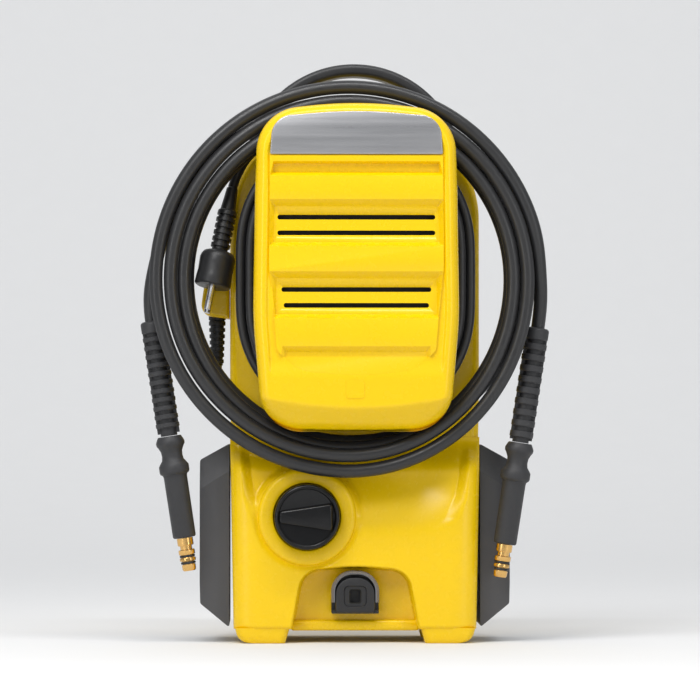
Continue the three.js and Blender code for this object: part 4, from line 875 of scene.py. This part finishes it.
def side_panel(hand, side):
    """A dark panel with one slanting facet across its top front corner."""
    outline = panel_outline if side > 0 else [(-x, z, r) for x, z, r in reversed(panel_outline)]
    back_edge = [(PANEL_REAR - 7, 0), (PANEL_REAR - 2, 1.6), (PANEL_REAR, 4)]
    block = front_loft(outline, [(PANEL_FRONT, 0), *back_edge], 4)
    piece = mesh_object(f"{hand}_panel", [block], [DARK_GREY], sharp=20)
    lower = Vector((side * HALF, PANEL_FRONT, FACET_LOW)) * MM
    along = Vector((side, 0, -FACET_FALL))
    up = Vector((0, FACET_DEEP, 152 - FACET_LOW))
    facing = along.cross(up) * side
    work = bmesh.new()
    work.from_mesh(piece.data)
    if facing.y > 0:
        facing = -facing
    bmesh.ops.bisect_plane(work, geom=[*work.verts, *work.edges, *work.faces], plane_co=lower,
                           plane_no=facing, clear_outer=True)
    bmesh.ops.holes_fill(work, edges=[e for e in work.edges if e.is_boundary])
    bmesh.ops.recalc_face_normals(work, faces=work.faces)
    work.to_mesh(piece.data)
    work.free()
    piece.data.set_sharp_from_angle(angle=math.radians(20))
    bevelled(piece, 0.9, 3, 22)
    return dress(piece, "housing", "dark_grey_plastic", f"{hand}_side_panel")


for hand, side in (("left", -1), ("right", 1)):
    side_panel(hand, side)

BRACKET_Z = 264
bracket_outline = [(-PANEL_OUT, BRACKET_Z - 15, 9), (-PANEL_IN, BRACKET_Z - 18, 0.5),
                   (-PANEL_IN, BRACKET_Z + 18, 0.5), (-PANEL_OUT + 4, BRACKET_Z + 14, 9)]
bracket_block = front_loft(bracket_outline, shell_sections(-16, 12, 3, 3), 10)
bracket = mesh_object("cord_bracket_skin", [bracket_block], [YELLOW])
# the hole's walls take the near-black painted shade
carve(bracket, [turned((-105, -4, 240), (-105, -4, 300), [(0, 6.9), (16.3, 6.9)], 40)])
dress(bracket, "housing", "yellow_shell", "cord_bracket")

HANDLE_Z = 358.4
HANDLE_RADIUS = 79.8
HANDLE_LEG = 26
HANDLE_THICK, HANDLE_DEEP = 9.6, 24
GROOVE_HALF, GROOVE_DEEP = 4, 0.5


def handle():
    """The carry arch: a rounded band with straight legs and a shallow groove along its outside."""
    section = rounded(rectangle(0, 0, HANDLE_THICK, HANDLE_DEEP, 3.6), 8)
    arc = [(math.pi * k / 150, 0.0) for k in range(151)]
    stations = [(0.0, -HANDLE_LEG), *arc, (math.pi, -HANDLE_LEG)]
    rings = []
    for angle, drop in stations:
        ring = []
        for p, q in section:
            out = HANDLE_RADIUS + p - (GROOVE_DEEP if abs(q) < GROOVE_HALF and p > 4 else 0)
            ring.append((out * math.cos(angle), SPLIT + q, HANDLE_Z + drop + out * math.sin(angle)))
        rings.append(ring)
    return dress(mesh_object("grip_arch", [skin(rings)], [BLACK], sharp=50), "housing", "black_plastic",
                 "carry_handle")


handle()


# ---- switch knob, outlet and inlet -------------------------------------------------------------------
KNOB_BACK, KNOB_FRONT = -37, -60
GRIP_TIP, GRIP_END = -20.6, 18.9
grip_outline = [(GRIP_TIP, -4.3, 2.4), (GRIP_END, -10.4, 2.6), (GRIP_END, 10.4, 2.6), (GRIP_TIP, 4.3, 2.4)]


def knob():
    """A gloss dial with a raised rim and a wedge grip that grows towards its wide end."""
    deep = KNOB_BACK - KNOB_FRONT
    profile = [(0, 4), (0, KNOB_RADIUS), (deep - 2.2, KNOB_RADIUS), (deep - 0.9, KNOB_RADIUS - 0.5),
               (deep - 0.2, KNOB_RADIUS - 1.4), (deep, KNOB_RADIUS - 2.4), (deep - 0.3, KNOB_RADIUS - 3.2),
               (deep - 1.3, KNOB_RADIUS - 3.8), (deep - 1.5, KNOB_RADIUS - 5), (deep - 1.5, 2)]
    dial = turned((KNOB.x, KNOB_BACK, KNOB.z), (KNOB.x, -90, KNOB.z), profile, 96)
    rings = []
    for rise, shrink in ((-3.0, -1.2), (0.0, -0.5), (0.72, 0.1), (0.9, 0.55), (0.98, 1.2), (1.0, 2.2)):
        ring = []
        for x, z in rounded(inset(grip_outline, shrink), 6):
            grown = 2.4 + 3.5 * min(1, max(0, (x - GRIP_TIP) / (GRIP_END - 5 - GRIP_TIP)))
            y = KNOB_FRONT - grown * rise if rise > 0 else KNOB_FRONT + 1.2 - rise
            ring.append((KNOB.x + x, y, KNOB.z + z))
        rings.append(ring)
    made = mesh_object("switch_dial", [dial, skin(rings)], [GLOSS], sharp=42)
    return dress(made, "knob", "gloss_black", "switch_knob")


knob()

OUTLET_FRONT = -40
OUTLET_HALF = 15
OUTLET_CORNER = 13


def horseshoe(side=0.0, top=0.0, low=14.0):
    """The coupling's outline, grown by different amounts at its sides and top."""
    r = OUTLET_HALF + side
    high = OUTLET_Z + OUTLET_HALF - 2 + top
    corner = OUTLET_CORNER + side
    return [(-r, OUTLET_Z - low, 2.5), (r, OUTLET_Z - low, 2.5), (r, high, corner), (-r, high, corner)]


def outlet():
    """The coupling's black face with a stepped square socket, and its base behind the release arch."""
    root = (ALCOVE_FLOOR + 0.4, 0)
    body = front_loft(horseshoe(), [root, (OUTLET_FRONT + 1.6, 0), (OUTLET_FRONT + 0.4, 0.5),
                                    (OUTLET_FRONT, 1.6)], 12)
    made = mesh_object("outlet_socket", [body], [BLACK, PAINTED_SHADE], sharp=40)
    wide = rectangle(0, OUTLET_Z - 1.2, 17, 15.5, 3.5)
    hole = rectangle(0, OUTLET_Z - 1.5, 7.6, 9.4, 1.2)
    carve(made, [front_loft(wide, [(OUTLET_FRONT - 1, -0.6), (OUTLET_FRONT + 1.3, 0.4)], 6)], BLACK)
    into_socket = [(OUTLET_FRONT - 1, -1.2), (OUTLET_FRONT + 1.2, -1.0), (OUTLET_FRONT + 2.2, 0),
                   (ALCOVE_FLOOR - 3, 0)]
    # the square socket's walls take the near-black painted shade, for the shadow inside it
    carve(made, [front_loft(hole, into_socket, 5)])
    base = front_loft(horseshoe(3.0, 4.2), [root, (OUTLET_FRONT + 10.3, 0), (OUTLET_FRONT + 9.6, 0.7)], 12)
    flange = front_loft(rectangle(0, OUTLET_Z - 13.2, 36, 2.6, 1),
                        [root, (OUTLET_FRONT + 2.6, 0), (OUTLET_FRONT + 1.8, 0.8)], 4)
    dress(mesh_object("outlet_base", [base, flange], [BLACK]), "housing", "black_plastic")
    return dress(made, "housing", "black_plastic", "outlet_coupling")


def release():
    """The sprung arch over the coupling, with fine ridges where a thumb presses it down."""
    steps = 34
    low = OUTLET_Z - 5.9
    inner = [p for p in rounded(horseshoe(0.35, 2.35), steps)[2 * (steps + 1):]]
    outer = [p for p in rounded(horseshoe(3.1, 5.2), steps)[2 * (steps + 1):]]
    inner = [(inner[0][0], low), *inner, (inner[-1][0], low)]
    outer = [(outer[0][0], low), *outer, (outer[-1][0], low)]
    rings = []
    for k, ((ax, az), (bx, bz)) in enumerate(zip(inner, outer)):
        ridge = 0.45 if k % 2 and bz > OUTLET_Z + 9 else 0
        out = Vector((bx - ax, bz - az)).normalized() * ridge
        bx, bz = bx - out.x, bz - out.y
        mx, mz = ax + (bx - ax) * 0.35, az + (bz - az) * 0.35
        rings.append([(ax, OUTLET_FRONT + 9, az), (ax, OUTLET_FRONT - 0.2, az), (mx, OUTLET_FRONT - 1, mz),
                      (bx, OUTLET_FRONT + 1.6, bz), (bx, OUTLET_FRONT + 9, bz)])
    made = mesh_object("release_arch", [skin(rings)], [RELEASE_SHEEN_GREY], sharp=30)
    return dress(made, "release", "dark_grey_plastic", "release_button")


# the dark grey panel plastic made lighter: its lighter colour is a painted highlight along the arch, while
# the coat and low roughness give it real gloss
RELEASE_SHEEN_GREY = finish("release_grey_painted_sheen", (0.16, 0.16, 0.17), 0.3, grain=0.5, grain_depth=0.01, coat=0.3)
outlet()
release()


INLET_START = 58.3


def inlet():
    """The water inlet's collar, with a screw thread round its mouth."""
    start = INLET_START
    profile = [(0, 5), (0, 9), (BODY_REAR - 3.5 - start, 9), (BODY_REAR - 3.5 - start, 13)]
    end = BODY_REAR + 3 - start
    at = BODY_REAR - 2.8 - start
    while at < end - 1.6:
        profile += [(at, 12.0), (at + 0.5, 13), (at + 0.9, 13), (at + 1.3, 12.0)]
        at += 1.7
    profile += [(end - 0.6, 12.0), (end, 11.4), (end, 9.2), (end - 0.6, 8.6), (10, 8.5), (10, 5)]
    collar = turned_ring((0, start, OUTLET_Z), (0, 200, OUTLET_Z), profile, 56)
    made = mesh_object("inlet_collar", [collar], [BLACK], sharp=40)
    return dress(made, "housing", "black_plastic", "inlet_coupling")


inlet()

INNER_FINISH = {
    STEEL: ["case_screw_1", "case_screw_2", "case_screw_3", "case_screw_4", "case_screw_5", "case_screw_6",
            "inlet_filter", "upper_bearing", "lower_bearing", "rotor", "gear_bearing", "piston_1", "piston_2",
            "piston_3", "piston_spring_1", "piston_spring_2", "piston_spring_3", "front_plug_pin",
            "rear_plug_pin"],
    ALUMINIUM: ["gear_case", "pump_housing", "wobble_plate", "motor_end_bracket"],
    BRASS: ["left_brush_holder", "right_brush_holder", "pump_head"],
    COPPER: ["motor_stator"],
    BLACK: ["knob_shaft", "power_switch", "cooling_fan", "drive_gear", "supply_wire"],
    DARK_GREY: ["switch_plunger"],
}
for material, names in INNER_FINISH.items():
    for name in names:
        bpy.data.objects[name].data.materials.clear()
        bpy.data.objects[name].data.materials.append(material)


# ---- studio ------------------------------------------------------------------------------------------
# in metres; the wall is far enough back to leave room behind the object
FLOOR_REACH = 12
SWEEP_START, SWEEP_RADIUS = 3.3, 2.0
WALL_TOP = 7.0
FLOOR_BELOW = 0.0001  # keeps the floor clear of the feet's undersides


def make_studio():
    """A pale floor that sweeps up behind the object, a broad key from the upper left and soft fills."""
    pale = finish("studio_paper", (0.80, 0.80, 0.80), 0.9, grain=3, grain_depth=0.01, mottle=0.01,
                  specular=0.1)
    profile = [(-FLOOR_REACH, 0.0), (SWEEP_START, 0.0)]
    profile += [(SWEEP_START + SWEEP_RADIUS * math.sin(a), SWEEP_RADIUS * (1 - math.cos(a)))
                for a in np.linspace(0.1, math.pi / 2, 14)]
    profile += [(SWEEP_START + SWEEP_RADIUS, WALL_TOP)]
    vertices = [(x, y, z - FLOOR_BELOW) for x in (-FLOOR_REACH, FLOOR_REACH) for y, z in profile]
    count = len(profile)
    faces = [(k, k + 1, count + k + 1, count + k) for k in range(count - 1)]
    data = bpy.data.meshes.new("studio_floor")
    data.from_pydata(vertices, [], faces)
    data.shade_smooth()
    data.materials.append(pale)
    add_object("studio_floor", data)
    world = bpy.data.worlds.new("studio")
    world.use_nodes = True
    world.node_tree.nodes["Background"].inputs["Color"].default_value = (0.9, 0.92, 0.95, 1)
    world.node_tree.nodes["Background"].inputs["Strength"].default_value = 0.5
    bpy.context.scene.world = world
    for name, at, aim, size, power in (
        ("key", (-0.8, -1.7, 1.7), (0, 0, 0.25), (0.9, 0.7), 17),
        ("top", (0.0, -0.7, 1.5), (0, -0.05, 0.25), (1.5, 0.16), 13),
        ("left_strip", (-1.25, -1.35, 0.35), (0, 0, 0.25), (0.16, 1.5), 5.0),
        ("right_strip", (1.25, -1.35, 0.35), (0, 0, 0.25), (0.16, 1.5), 4.5),
        ("backdrop", (0.0, 2.4, 4.4), (0, 5.3, 0.7), (6.0, 2.0), 100),
    ):
        data = bpy.data.lights.new(name, "AREA")
        data.shape = "RECTANGLE"
        data.size, data.size_y = size
        data.energy = power
        light = bpy.data.objects.new(name, data)
        light.location = at
        light.rotation_euler = (Vector(aim) - Vector(at)).to_track_quat("-Z", "Y").to_euler()
        bpy.context.scene.collection.objects.link(light)


make_studio()
bpy.context.scene.view_settings.view_transform = "Standard"  # shows each finish at its own colour
